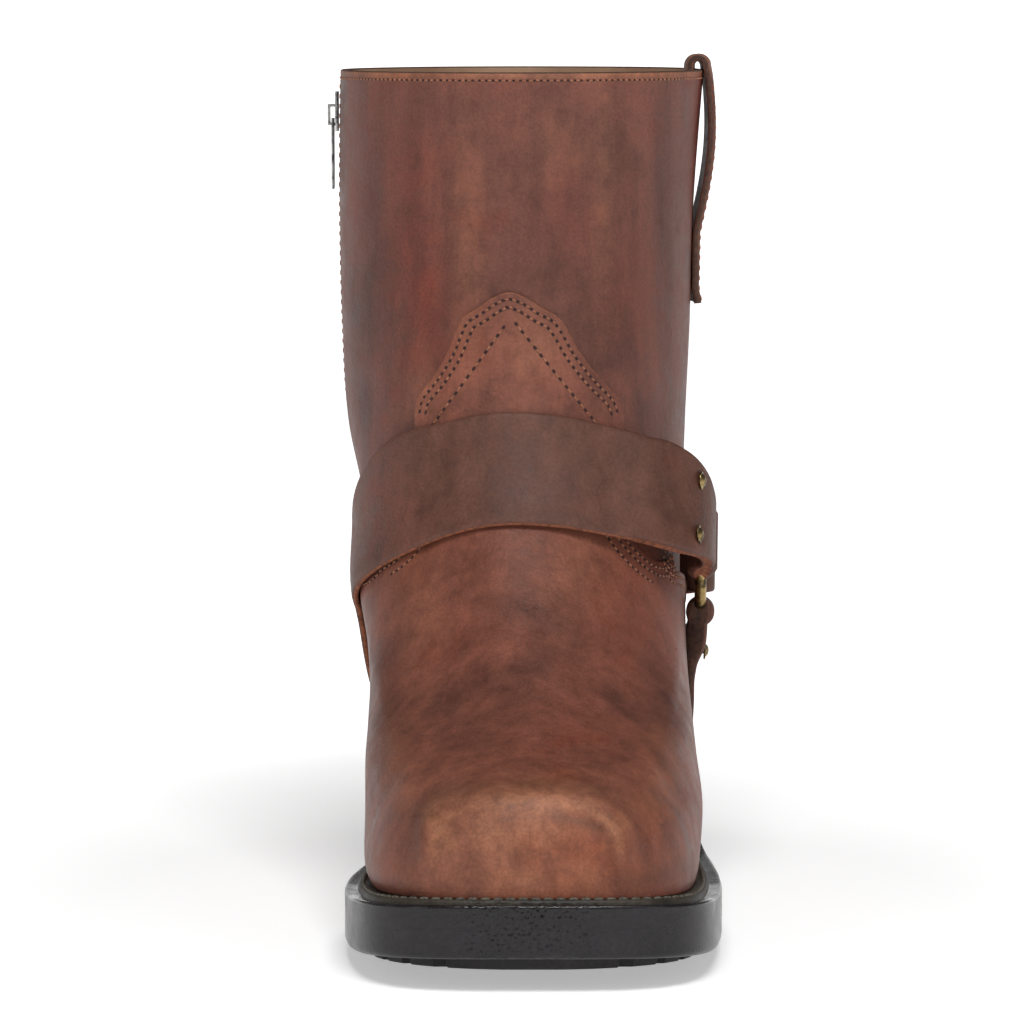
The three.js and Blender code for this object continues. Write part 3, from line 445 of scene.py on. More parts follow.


# Tone of the oiled leather, in the boot's own millimetres: centre x and height,
# half sizes, turn in degrees and strength. Each lies on the side that faces the toe.
# Besides the leather's own uneven tone and scratches, the pale marks on the toe are
# painted highlights on its plateau and front, the long pale bands down the shaft are
# painted sheen, and the dark marks down the sides of the vamp and the shaft are painted shade.
PATCHES = {
    # The first five pale marks light the toe's plateau and front: painted highlights. The two long ones on the shaft
    # are painted sheen.
    "pale": (
        (-1, 53, 22, 5, 0, 0.62), (-25, 44, 5, 10, 28, 0.55), (25, 44, 5, 9, -28, 0.35), (-4, 45, 24, 9, 0, 0.5), (0, 33, 34, 9, 0, 0.32),
        (-19, 205, 5, 40, 0, 0.16), (24, 222, 4, 36, 0, 0.12), (2, 176, 9, 12, 0, 0.2), (-38, 55, 8, 14, 20, 0.2), (38, 52, 8, 14, -20, 0.2),
        (-34, 100, 8, 22, 0, 0.16), (14, 108, 12, 12, 0, 0.14), (-33, 163, 6, 12, 0, 0.14), (12, 240, 12, 10, 0, 0.1),
    ),
    # The dark marks at both sides of the vamp and down both sides of the shaft are painted shade where the leather
    # turns away from the light.
    "dark": (
        (-44, 66, 7, 22, -6, 0.5), (42, 70, 6, 16, 14, 0.5), (10, 94, 9, 15, 0, 0.22), (15, 47.5, 10, 1.5, -17, 0.75), (21, 49.5, 6, 1.0, -22, 0.6),
        (34, 31, 14, 3, 4, 0.45), (-50, 225, 6, 40, 0, 0.45), (46, 215, 9, 40, 0, 0.6), (4, 200, 26, 20, 0, 0.3),
        (36, 150, 12, 12, 0, 0.3), (-26, 250, 14, 8, 0, 0.25), (-10, 72, 14, 5, 10, 0.22), (4, 137, 20, 10, 0, 0.3),
        (44, 120, 6, 20, 0, 0.35),
    ),
    "red": (
        (-34, 195, 12, 34, 8, 0.6), (-36, 232, 12, 12, 0, 0.45), (14, 216, 9, 18, 8, 0.3), (42, 26, 12, 3, 0, 0.8),
        (-10, 26, 40, 3, 0, 0.35), (38, 46, 12, 12, 30, 0.45), (-44, 38, 9, 14, 0, 0.4), (-44, 125, 10, 16, 0, 0.6),
        (-20, 176, 8, 14, 0, 0.2), (36, 105, 10, 14, 0, 0.4), (30, 190, 10, 20, 0, 0.25),
    ),
}


def patches(points, table, front):
    total = np.zeros(len(points))
    for x, z, half_x, half_z, turn, strength in table:
        a = math.radians(turn)
        dx = points[:, 0] - x
        dz = points[:, 2] - z
        u = (dx * math.cos(a) + dz * math.sin(a)) / half_x
        v = (dz * math.cos(a) - dx * math.sin(a)) / half_z
        total = np.maximum(total, strength * np.exp(-(u * u + v * v)))
    return total * front


def paint_wear_and_light(mesh, points):
    """Stores how pale, dark or red the leather is at each point, for the material to use: its own tone and wear, with
    painted highlights and painted shade.
    """
    front = 1 - smooth((points[:, 1] - 175) / 50)
    wear_and_painted_light = {name: patches(points, table, front) for name, table in PATCHES.items()}
    # A paler band along the collar's top edge: a painted highlight on its rolled edge.
    rubbed_and_highlit = 0.55 * smooth((points[:, 2] - (BOOT_HEIGHT - 2.6)) / 1.2)
    reach, toe = plateau(points[:, 0], points[:, 1], points[:, 2])
    # A pale line along the edge of the toe's plateau: a painted highlight on its ridge.
    edge = toe * 0.6 * np.exp(-(((reach - 0.97) / 0.07) ** 2))
    wear_and_painted_light["pale"] = np.maximum(wear_and_painted_light["pale"], np.maximum(rubbed_and_highlit, edge))
    # A dark band just outside the plateau's edge: painted shade below the ridge.
    wear_and_painted_light["dark"] = np.maximum(wear_and_painted_light["dark"], toe * 0.3 * np.exp(-(((reach - 1.22) / 0.1) ** 2)))
    for name, values in wear_and_painted_light.items():
        layer = mesh.attributes.new(name, "FLOAT", "POINT")
        layer.data.foreach_set("value", values.astype(np.float32))


# Materials
def hex_colour(code):
    """A colour picked as sRGB hex, turned to the linear values that shaders use."""
    parts = [int(code[i:i + 2], 16) / 255 for i in (1, 3, 5)]
    return tuple(c / 12.92 if c <= 0.04045 else ((c + 0.055) / 1.055) ** 2.4 for c in parts) + (1.0,)


def add(tree, kind, inputs=None, **settings):
    """Adds a shader node with its settings, its values and its links."""
    node = tree.nodes.new("ShaderNode" + kind)
    for name, value in settings.items():
        setattr(node, name, value)
    for name, value in (inputs or {}).items():
        if isinstance(value, bpy.types.NodeSocket):
            tree.links.new(value, node.inputs[name])
        else:
            node.inputs[name].default_value = value
    return node


def new_material(name):
    material = bpy.data.materials.new(name)
    material.use_nodes = True
    tree = material.node_tree
    return material, tree, tree.nodes["Principled BSDF"]


def per_mm(size):
    """Texture scale for a feature of this size in millimetres, on coordinates in metres."""
    return 1 / (size * MM)


def ramp(tree, factor, stops):
    node = add(tree, "ValToRGB", {"Fac": factor})
    elements = node.color_ramp.elements
    while len(elements) < len(stops):
        elements.new(0.5)
    for element, (place, value) in zip(elements, stops):
        element.position = place
        element.color = value
    return node.outputs["Color"]


def grey(v):
    return (v, v, v, 1.0)


def pull_up_leather(name, base, pale, dark, red, grain_depth=0.16, shine=0.5):
    """Oiled pull-up leather, dyed through and waxed. Its pale, dark and red marks are partly its own tone and wear and
    partly painted highlights and painted shade.
    """
    material, tree, shader = new_material(name)
    place = add(tree, "TexCoord").outputs["Object"]
    cloud = add(tree, "TexNoise", {"Vector": place, "Scale": per_mm(38), "Detail": 4, "Roughness": 0.55, "Distortion": 0.25})
    mottle = add(tree, "TexNoise", {"Vector": place, "Scale": per_mm(7), "Detail": 6, "Roughness": 0.7, "Distortion": 0.3})
    fibre = add(tree, "TexNoise", {"Vector": place, "Scale": per_mm(0.9), "Detail": 3, "Roughness": 0.6})
    drawn = add(tree, "Mapping", {"Vector": place, "Rotation": (0, 0.25, 0), "Scale": (1.0, 1.0, 0.16)})
    rub = add(tree, "TexNoise", {"Vector": drawn.outputs[0], "Scale": per_mm(9), "Detail": 5, "Roughness": 0.6})
    shade = tuple(mix(np.array(base), np.array(dark), 0.55))
    body_colour = ramp(tree, cloud.outputs["Fac"], [(0.33, shade), (0.47, base), (0.55, base), (0.72, red)])

    spread = add(tree, "MapRange", {"Value": mottle.outputs["Fac"], "From Min": 0.3, "From Max": 0.7, "To Min": 0.55, "To Max": 1.3})

    def marked(word, colour, over):
        word_level = add(tree, "Attribute", attribute_name=word).outputs["Fac"]
        level = add(tree, "Math", {0: word_level, 1: spread.outputs[0]}, operation="MULTIPLY", use_clamp=True)
        return add(tree, "Mix", {0: level.outputs[0], 6: over, 7: colour}, data_type="RGBA").outputs[2]

    # Mixes in the pale, dark and red marks, painted shade and painted highlights among them.
    toned = marked("dark", dark, marked("red", red, body_colour))
    toned = marked("pale", pale, toned)
    blotch = ramp(tree, mottle.outputs["Fac"], [(0.3, grey(0.76)), (0.5, grey(1.0)), (0.68, grey(1.14))])
    streak = ramp(tree, rub.outputs["Fac"], [(0.32, grey(0.8)), (0.5, grey(1.0)), (0.68, grey(1.2))])
    speck = ramp(tree, fibre.outputs["Fac"], [(0.3, grey(0.82)), (0.7, grey(1.14))])
    rubbed_and_highlit = add(tree, "Mix", {0: 1.0, 6: toned, 7: streak}, data_type="RGBA", blend_type="MULTIPLY").outputs[2]
    first = add(tree, "Mix", {0: 1.0, 6: rubbed_and_highlit, 7: blotch}, data_type="RGBA", blend_type="MULTIPLY").outputs[2]
    final = add(tree, "Mix", {0: 1.0, 6: first, 7: speck}, data_type="RGBA", blend_type="MULTIPLY").outputs[2]
    tree.links.new(final, shader.inputs["Base Color"])
    gloss = add(tree, "MapRange", {"Value": mottle.outputs["Fac"], "From Min": 0.3, "From Max": 0.7, "To Min": shine - 0.08, "To Max": shine + 0.12})
    tree.links.new(gloss.outputs[0], shader.inputs["Roughness"])
    pores = add(tree, "TexVoronoi", {"Vector": place, "Scale": per_mm(1.1)}, feature="SMOOTH_F1")
    wrinkles = add(tree, "TexNoise", {"Vector": place, "Scale": per_mm(4.5), "Detail": 7, "Roughness": 0.72, "Distortion": 1.4})
    fine = add(tree, "Bump", {"Height": pores.outputs["Distance"], "Strength": 0.35, "Distance": grain_depth * MM})
    coarse = add(tree, "Bump", {"Height": wrinkles.outputs["Fac"], "Strength": 0.5, "Distance": 0.55 * MM, "Normal": fine.outputs[0]})
    tree.links.new(coarse.outputs[0], shader.inputs["Normal"])
    shader.inputs["IOR"].default_value = 1.46
    shader.inputs["Specular IOR Level"].default_value = 0.3
    return material


def cut_leather(name, colour, dark):
    """The cut edge of oiled leather: raw fibres, paler than the face."""
    material, tree, shader = new_material(name)
    place = add(tree, "TexCoord").outputs["Object"]
    fibre = add(tree, "TexNoise", {"Vector": place, "Scale": per_mm(1.6), "Detail": 5, "Roughness": 0.7})
    tree.links.new(ramp(tree, fibre.outputs["Fac"], [(0.36, dark), (0.6, colour)]), shader.inputs["Base Color"])
    fuzz = add(tree, "Bump", {"Height": fibre.outputs["Fac"], "Strength": 0.6, "Distance": 0.25 * MM})
    tree.links.new(fuzz.outputs[0], shader.inputs["Normal"])
    shader.inputs["Roughness"].default_value = 0.85
    return material


def lining_leather(name, colour, dark):
    """Split pigskin lining: matt, with pores in loose groups."""
    material, tree, shader = new_material(name)
    place = add(tree, "TexCoord").outputs["Object"]
    cloud = add(tree, "TexNoise", {"Vector": place, "Scale": per_mm(22), "Detail": 4})
    pores = add(tree, "TexVoronoi", {"Vector": place, "Scale": per_mm(1.8)})
    tree.links.new(ramp(tree, cloud.outputs["Fac"], [(0.35, dark), (0.65, colour)]), shader.inputs["Base Color"])
    bump = add(tree, "Bump", {"Height": pores.outputs["Distance"], "Strength": 0.4, "Distance": 0.2 * MM})
    tree.links.new(bump.outputs[0], shader.inputs["Normal"])
    shader.inputs["Roughness"].default_value = 0.8
    return material


def waxed_thread(name, colour, dark):
    """Twisted waxed thread: fine slanting plies with a soft shine."""
    material, tree, shader = new_material(name)
    place = add(tree, "TexCoord").outputs["Object"]
    ply = add(tree, "TexNoise", {"Vector": place, "Scale": per_mm(0.7), "Detail": 3})
    tree.links.new(ramp(tree, ply.outputs["Fac"], [(0.35, dark), (0.62, colour)]), shader.inputs["Base Color"])
    shader.inputs["Roughness"].default_value = 0.6
    return material


def needle_hole(name, colour):
    """The dark of a needle hole, where the leather is pressed in and unlit."""
    material, tree, shader = new_material(name)
    place = add(tree, "TexCoord").outputs["Object"]
    noise = add(tree, "TexNoise", {"Vector": place, "Scale": per_mm(1)})
    tree.links.new(ramp(tree, noise.outputs["Fac"], [(0.3, colour), (0.8, hex_colour("#3a1d18"))]), shader.inputs["Base Color"])
    shader.inputs["Roughness"].default_value = 0.9
    return material


def moulded_rubber(name, colour, pale, shine, pebble_depth=0.35, buff_depth=0.12):
    """Moulded and buffed rubber: a dark wall with level buffing lines and a pebbled patch at the toe."""
    material, tree, shader = new_material(name)
    place = add(tree, "TexCoord").outputs["Object"]
    cloud = add(tree, "TexNoise", {"Vector": place, "Scale": per_mm(14), "Detail": 5, "Roughness": 0.65})
    dust = add(tree, "TexNoise", {"Vector": place, "Scale": per_mm(1.3), "Detail": 4, "Roughness": 0.75})
    level = add(tree, "Mapping", {"Vector": place, "Scale": (0.12, 0.12, 1.0)})
    buffing = add(tree, "TexNoise", {"Vector": level.outputs[0], "Scale": per_mm(0.8), "Detail": 4, "Roughness": 0.6})
    pebble = add(tree, "TexVoronoi", {"Vector": place, "Scale": per_mm(1.3), "Randomness": 0.95}, feature="SMOOTH_F1")
    patch = add(tree, "Attribute", attribute_name="pebbled").outputs["Fac"]
    tone = ramp(tree, cloud.outputs["Fac"], [(0.35, colour), (0.7, pale)])
    flecks = ramp(tree, dust.outputs["Fac"], [(0.35, grey(0.7)), (0.55, grey(1.0)), (0.72, grey(1.5))])
    final = add(tree, "Mix", {0: 1.0, 6: tone, 7: flecks}, data_type="RGBA", blend_type="MULTIPLY").outputs[2]
    tree.links.new(final, shader.inputs["Base Color"])
    gloss = add(tree, "MapRange", {"Value": cloud.outputs["Fac"], "From Min": 0.3, "From Max": 0.7, "To Min": shine - 0.08, "To Max": shine + 0.1})
    tree.links.new(gloss.outputs[0], shader.inputs["Roughness"])
    lines = add(tree, "Bump", {"Height": buffing.outputs["Fac"], "Strength": 0.5, "Distance": buff_depth * MM})
    bumps = add(tree, "Math", {0: pebble.outputs["Distance"], 1: patch}, operation="MULTIPLY")
    grain = add(tree, "Bump", {"Height": bumps.outputs[0], "Strength": 1.0, "Distance": pebble_depth * MM, "Normal": lines.outputs[0]})
    tree.links.new(grain.outputs[0], shader.inputs["Normal"])
    shader.inputs["Specular IOR Level"].default_value = 0.32
    return material


def antique_metal(name, bright, dull, rough):
    """Plated brass or zinc with a dark antique wash left in its hollows."""
    material, tree, shader = new_material(name)
    place = add(tree, "TexCoord").outputs["Object"]
    wash = add(tree, "TexNoise", {"Vector": place, "Scale": per_mm(3), "Detail": 5, "Roughness": 0.7})
    tree.links.new(ramp(tree, wash.outputs["Fac"], [(0.38, dull), (0.58, bright)]), shader.inputs["Base Color"])
    gloss = add(tree, "MapRange", {"Value": wash.outputs["Fac"], "From Min": 0.35, "From Max": 0.6, "To Min": rough + 0.2, "To Max": rough})
    tree.links.new(gloss.outputs[0], shader.inputs["Roughness"])
    bump = add(tree, "Bump", {"Height": wash.outputs["Fac"], "Strength": 0.3, "Distance": 0.1 * MM})
    tree.links.new(bump.outputs[0], shader.inputs["Normal"])
    shader.inputs["Metallic"].default_value = 1.0
    return material


def woven_tape(name, colour, dark):
    """Herringbone polyester zip tape; its weave is drawn at 1.2 mm, coarser than life, so that it shows."""
    material, tree, shader = new_material(name)
    place = add(tree, "TexCoord").outputs["Object"]
    weave = add(tree, "TexWave", {"Vector": place, "Scale": per_mm(1.2) / 6.28, "Distortion": 0.4}, bands_direction="DIAGONAL")
    tree.links.new(ramp(tree, weave.outputs["Fac"], [(0.2, dark), (0.8, colour)]), shader.inputs["Base Color"])
    bump = add(tree, "Bump", {"Height": weave.outputs["Fac"], "Strength": 0.6, "Distance": 0.15 * MM})
    tree.links.new(bump.outputs[0], shader.inputs["Normal"])
    shader.inputs["Roughness"].default_value = 0.9
    return material


def finish(name):
    """The material of this name, made when it is first asked for."""
    if name in bpy.data.materials:
        return bpy.data.materials[name]
    look = bpy.context.scene.boot_looks
    base = tuple(look.leather) + (1.0,)
    strap = tuple(look.strap) + (1.0,)
    rubber = tuple(look.rubber) + (1.0,)
    # Colours of the pale and dark marks, which include painted highlights and painted shade.
    pale = hex_colour("#a56f50")
    dark = hex_colour("#3c2520")
    red = hex_colour("#672d22")
    makers = {
        "oiled_shaft_leather": lambda: pull_up_leather(name, base, pale, dark, red),
        "oiled_vamp_leather": lambda: pull_up_leather(name, hex_colour("#744436"), pale, dark, hex_colour("#733927"), shine=0.46),
        "waxed_strap_leather": lambda: pull_up_leather(name, strap, hex_colour("#8b6350"), hex_colour("#4c322a"), hex_colour("#663a2f"), shine=0.5),
        "cut_leather_edge": lambda: cut_leather(name, hex_colour("#96583a"), hex_colour("#5a3323")),
        "inked_leather_edge": lambda: cut_leather(name, hex_colour("#523528"), hex_colour("#32211b")),
        "pigskin_lining": lambda: lining_leather(name, hex_colour("#a8866a"), hex_colour("#8b6c54")),
        "waxed_thread": lambda: waxed_thread(name, hex_colour("#9a6547"), hex_colour("#6b3d2a")),
        "welt_thread": lambda: waxed_thread(name, hex_colour("#5f584a"), hex_colour("#2f2b26")),
        "needle_hole": lambda: needle_hole(name, hex_colour("#1d0e0b")),
        "wall_rubber": lambda: moulded_rubber(name, rubber, hex_colour("#252124"), 0.3, pebble_depth=0.45),
        "margin_rubber": lambda: moulded_rubber(name, rubber, hex_colour("#2a2729"), 0.24, buff_depth=0.04),
        "tread_rubber": lambda: moulded_rubber(name, rubber, hex_colour("#2b2829"), 0.6),
        "welt_strip": lambda: moulded_rubber(name, hex_colour("#2b2620"), hex_colour("#4a4236"), 0.55),
        # The brass's dull colour is darker than an antique wash alone: painted shade for the ring, which sits mostly in
        # shadow between the straps.
        "antique_brass_with_painted_shade": lambda: antique_metal(name, hex_colour("#9c8558"), hex_colour("#3d3427"), 0.3),
        "plated_zip_metal": lambda: antique_metal(name, hex_colour("#a5a3a1"), hex_colour("#4a4848"), 0.3),
        "woven_zip_tape": lambda: woven_tape(name, hex_colour("#3f2c24"), hex_colour("#251914")),
    }
    return makers[name]()


# Stitches
def stitch_row(name, points, normals, pitch, thread="waxed_thread", length=0.62, radius=0.34, hole=0.6, closed=False, slot=None):
    """Thread bits laid along a path on the leather, with a needle hole at each end of them, drawn as a dark disc of
    painted shade.
    """
    points = np.asarray(points)
    if closed:
        points = np.vstack([points, points[:1]])
        normals = np.vstack([normals, normals[:1]])
    run = np.concatenate([[0], np.cumsum(np.linalg.norm(np.diff(points, axis=0), axis=1))])
    count = max(2, int(run[-1] / pitch))
    stops = np.linspace(0, run[-1], count + 1)

    def at(where):
        place = np.stack([np.interp(where, run, points[:, k]) for k in range(3)], axis=-1)
        up = unit(np.stack([np.interp(where, run, normals[:, k]) for k in range(3)], axis=-1))
        return place, up

    sides = 6
    turn = np.arange(sides) * 2 * math.pi / sides
    bit_stations = ((-1.0, 0.0), (-0.86, 0.55), (-0.5, 0.95), (0.5, 0.95), (0.86, 0.55), (1.0, 0.0))
    real = run[-1] / count
    middle, up = at((stops[:-1] + stops[1:]) / 2)
    ahead, _ = at(np.minimum((stops[:-1] + stops[1:]) / 2 + 0.2, run[-1]))
    along = unit(ahead - middle)
    across = unit(np.cross(up, along))
    vertices = []
    faces = []
    for k in range(len(middle)):
        start = len(vertices)
        for where, size in bit_stations:
            centre = middle[k] + along[k] * where * real * length / 2 + up[k] * (0.45 * size - 0.25) * radius
            for a in turn:
                vertices.append(centre + (across[k] * math.cos(a) + up[k] * math.sin(a)) * radius * size)
        for i in range(len(bit_stations) - 1):
            for j in range(sides):
                j2 = (j + 1) % sides
                faces.append((start + i * sides + j, start + i * sides + j2, start + (i + 1) * sides + j2, start + (i + 1) * sides + j))
    slots = [0] * len(faces)
    # Each needle hole is a flat dark disc just above the leather: painted shade of the hole.
    if hole:
        spots, lifts = at(stops)
        ahead, _ = at(np.minimum(stops + 0.2, run[-1] + 0.2))
        for k in range(len(spots)):
            direction = along[min(k, len(along) - 1)]
            sideways = unit(np.cross(lifts[k], direction))
            start = len(vertices)
            vertices.append(spots[k] + lifts[k] * 0.1)
            for a in np.arange(8) * math.pi / 4:
                vertices.append(spots[k] + lifts[k] * 0.03 + (direction * 1.35 * math.cos(a) + sideways * 0.9 * math.sin(a)) * hole)
            for j in range(8):
                faces.append((start, start + 1 + j, start + 1 + (j + 1) % 8))
                slots.append(1)
    piece = mesh_piece(name, np.array(vertices), faces, [finish(thread), finish("needle_hole")], slots, wear_and_light=False)
    return piece


def row_on_skin(name, angle, t, out, pitch, **options):
    return stitch_row(name, offset(angle, t, out), skin_normal(angle, t), pitch, **options)


# Upper
ZIP_PLACE = skin(-math.pi / 2, float(LAST))
ZIP_BACK = float(ZIP_PLACE[1])
ZIP_FOOT = float(ZIP_PLACE[2]) - ZIP_LENGTH
ZIP_TOP = float(ZIP_PLACE[2]) - ZIP_TOP_DROP


def make_upper():
    """The shaft and lasted foot: one wall, open at the collar and underneath, with the zip's slot."""
    around, in_slot = 300, 5
    _, foot_level = side_place(ZIP_BACK, ZIP_FOOT, -1)
    foot_level = float(foot_level)
    low_rows = 84
    t = np.concatenate([np.linspace(0.03, foot_level, low_rows), np.linspace(foot_level, LAST, 50)[1:]])
    front_edge = angle_at(ZIP_BACK - ZIP_SLOT_HALF, t, -1)
    back_edge = angle_at(ZIP_BACK + ZIP_SLOT_HALF, t, -1) + 2 * math.pi
    share = np.linspace(0, 1, around)[:, None]
    main = mix(front_edge[None], back_edge[None], share)
    inside = mix(back_edge[None], front_edge[None] + 2 * math.pi, np.linspace(0, 1, in_slot + 1)[1:-1, None])
    angle = np.vstack([main, inside])
    points = offset(angle, np.broadcast_to(t, angle.shape), 0.0)
    columns, rows = angle.shape
    faces = [f for f in grid_faces(columns, rows, wrap_columns=True)
             if not (f[0] // rows >= around - 1 and f[0] % rows >= low_rows - 1)]
    piece = mesh_piece("upper_leather", points, faces, [finish("oiled_shaft_leather"), finish("inked_leather_edge"), finish("pigskin_lining")])
    thicken(piece, WALL, 0.45, rim_slot=1, back_slot=2)
    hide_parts("upper")
    collar = np.linspace(front_edge[-1], back_edge[-1], 260)
    drop = np.full(collar.shape, LAST - 2.6 / ((BOOT_HEIGHT - ANKLE_HEIGHT) * 0.31))
    row_on_skin("collar_stitches", collar, drop, 0.0, 0.72 * bpy.context.scene.boot_looks.stitch_pitch / MM, hole=0.42, slot="shaft_leather")
    for side in (-1, 1):
        height = np.linspace(ZIP_FOOT - 3, float(ZIP_PLACE[2]) - 4, 90)
        a, level = side_place(ZIP_BACK + side * (ZIP_SLOT_HALF + 2.2), height, -1)
        row_on_skin(f"zip_stitches_{side + 2}", a, level, 0.0, 3.2, slot="shaft_leather")


def front_place(x, z):
    """Angle and level of the skin at a place in the front view, found by Newton's steps."""
    t = np.interp(z, [100, 126, 160, 195, 262], [6.6, 7.7, 8.6, 9.5, 12])
    angle = np.arcsin(np.clip((x - RIDGE_MIDDLE) / 50, -0.95, 0.95))
    h = 1e-3
    for _ in range(16):
        here = skin(angle, t)
        da = (skin(angle + h, t) - here) / h
        dt = (skin(angle, t + h) - here) / h
        ex = x - here[..., 0]
        ez = z - here[..., 2]
        det = da[..., 0] * dt[..., 2] - dt[..., 0] * da[..., 2]
        det = np.where(np.abs(det) < 1e-6, 1e-6, det)
        angle = angle + np.clip((ex * dt[..., 2] - ez * dt[..., 0]) / det, -0.2, 0.2)
        t = np.clip(t + np.clip((da[..., 0] * ez - da[..., 2] * ex) / det, -0.4, 0.4), 0.1, LAST - 0.1)
    return angle, t


def drawn_in(angle, t, inset):
    """A path on the skin moved sideways by a distance, to the right of its run as seen from outside."""
    h = 1e-3
    here = skin(angle, t)
    da = (skin(angle + h, t) - here) / h
    dt = (skin(angle, t + h) - here) / h
    run = np.gradient(here, axis=0)
    for _ in range(4):
        run[1:-1] = (run[:-2] + 2 * run[1:-1] + run[2:]) / 4
    move = unit(np.cross(run, skin_normal(angle, t))) * inset
    aa, at, tt = (da * da).sum(-1), (da * dt).sum(-1), (dt * dt).sum(-1)
    ma, mt = (move * da).sum(-1), (move * dt).sum(-1)
    det = aa * tt - at * at
    return angle + (ma * tt - mt * at) / det, t + (mt * aa - ma * at) / det


RIDGE_MIDDLE = float(section(LAST - 1)["ridge"]) * HALF_BALL


def tongue_line(count):
    """The tongue's edge from the inner hip over its peak to the outer hip, on the skin."""
    halves = np.array(TONGUE_HALVES)
    drops = np.array(TONGUE_DROPS)
    place = np.linspace(0, 2 * len(halves) - 2, count)
    reach = through(np.concatenate([-halves[::-1], halves[1:]]), place) * TONGUE_HALF
    drop = through(np.concatenate([drops[::-1], drops[1:]]), place)
    middle = RIDGE_MIDDLE + mix(TONGUE_LEAN[0], TONGUE_LEAN[1], drop / drops[-1])
    return front_place(middle + reach, mix(TONGUE_TOP, TONGUE_FOOT, drop))


def wing_line(side, count):
    """The wing's edge from the tongue's hip, under the strap and back to the side seam."""
    front_x, front_z = (np.array(values, float) for values in zip(*WING_FRONT[side]))
    a1, t1 = front_place(front_x, front_z)
    back_s, back_z = (np.array(values, float) for values in zip(*WING_SIDE))
    a2, t2 = side_place(back_s, back_z, side)
    angle = np.concatenate([a1, a2])
    level = np.concatenate([t1, t2])
    place = np.linspace(0, len(angle) - 1, count)
    return through(angle, place), through(level, place)


def vamp_share(angle, t):
    return angle / np.abs(angle_at(SEAM_BACK, t, 1))


def make_vamp():
    """The vamp: from the toe up to a peaked tongue on the shin, with wings back to the side seams."""
    peak_a, peak_t = tongue_line(200)
    peak_share = vamp_share(peak_a, peak_t)
    inner_a, inner_t = wing_line(-1, 160)
    outer_a, outer_t = wing_line(1, 160)
    inner_share = vamp_share(inner_a, inner_t)
    outer_share = vamp_share(outer_a, outer_t)
    hips = (inner_share[0], outer_share[0])
    tongue = np.linspace(hips[0], hips[1], 121)
    share = np.concatenate([np.linspace(-1, hips[0], 141)[:-1], tongue, np.linspace(hips[1], 1, 141)[1:]])
    edge_share = np.concatenate([inner_share[::-1], outer_share])
    edge_t = np.concatenate([inner_t[::-1], outer_t])
    wing_top = np.interp(share, edge_share, edge_t)
    low_rows, high_rows = 90, 46
    t = 0.03 + (wing_top[:, None] - 0.03) * np.linspace(0, 1, low_rows)[None]
    low = offset(share[:, None] * np.abs(angle_at(SEAM_BACK, t, 1)), t, OVERLAY_HIGH)
    first = 140
    base = wing_top[first:first + len(tongue)]
    scaled = np.interp(tongue, hips, (peak_share[0], peak_share[-1]))
    top = np.interp(scaled, peak_share, peak_t)
    level = base[:, None] + (top - base)[:, None] * np.linspace(0, 1, high_rows)[None]
    ease = smooth(np.linspace(0, 1, high_rows) * 1.4)[None]
    across = mix(tongue[:, None], scaled[:, None], ease)
    high = offset(across * np.abs(angle_at(SEAM_BACK, level, 1)), level, OVERLAY_HIGH)
    faces = grid_faces(len(share), low_rows)
    upper = np.arange(len(tongue) * high_rows).reshape(len(tongue), high_rows) + len(share) * low_rows
    upper[:, 0] = (np.arange(len(tongue)) + first) * low_rows + low_rows - 1
    faces += [(upper[i, j], upper[i + 1, j], upper[i + 1, j + 1], upper[i, j + 1])
              for i in range(len(tongue) - 1) for j in range(high_rows - 1)]
    points, faces = used_points(np.vstack([low.reshape(-1, 3), high.reshape(-1, 3)]), faces)
    piece = mesh_piece("vamp_leather", points, faces, [finish("oiled_vamp_leather"), finish("cut_leather_edge")])
    thicken(piece, OVERLAY_THICK, 0.3)
    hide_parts("vamp")
    pitch = bpy.context.scene.boot_looks.stitch_pitch / MM
    rows = {"tongue": (peak_a, peak_t, (2.2, 4.8), 1), "wing_inner": (inner_a, inner_t, (2.2, 4.8, 8.6), -1),
            "wing_outer": (outer_a, outer_t, (2.2, 4.8, 8.6), 1)}
    dense = 0.8 * pitch
    for word, (a, level, insets, turn) in rows.items():
        for number, inset in enumerate(insets):
            row_a, row_t = drawn_in(a, level, inset * turn)
            keep = slice(3, -4) if number < 2 else slice(3, len(a) // 3)
            row_on_skin(f"{word}_stitches_{number + 1}", row_a[keep], row_t[keep], OVERLAY_HIGH, dense, slot="vamp_leather")
    for number, line in enumerate(TONGUE_DARTS):
        x, z = (np.interp(np.linspace(0, 1, 60), [0, 1], values) for values in zip(*line))
        row_on_skin(f"tongue_darts_{number + 1}", *front_place(x, z), OVERLAY_HIGH, pitch, slot="vamp_leather")
    for side in (-1, 1):
        for number, inset in enumerate((2.2, 4.6)):
            z = np.linspace(WING_END_HEIGHT - inset - 1, float(sole_top(SEAM_BACK)) + 2, 60)
            a, level = side_place(np.full(z.shape, SEAM_BACK - inset), z, side)
            row_on_skin(f"seam_stitches_{side + 2}{number}", a, level, OVERLAY_HIGH, pitch, slot="vamp_leather")


def counter_height(s):
    start = SEAM_BACK + GAP
    return mix(COUNTER_FRONT_HEIGHT, COUNTER_BACK_HEIGHT, smooth((s - start) / (SOLE_LENGTH - start) * 1.15))


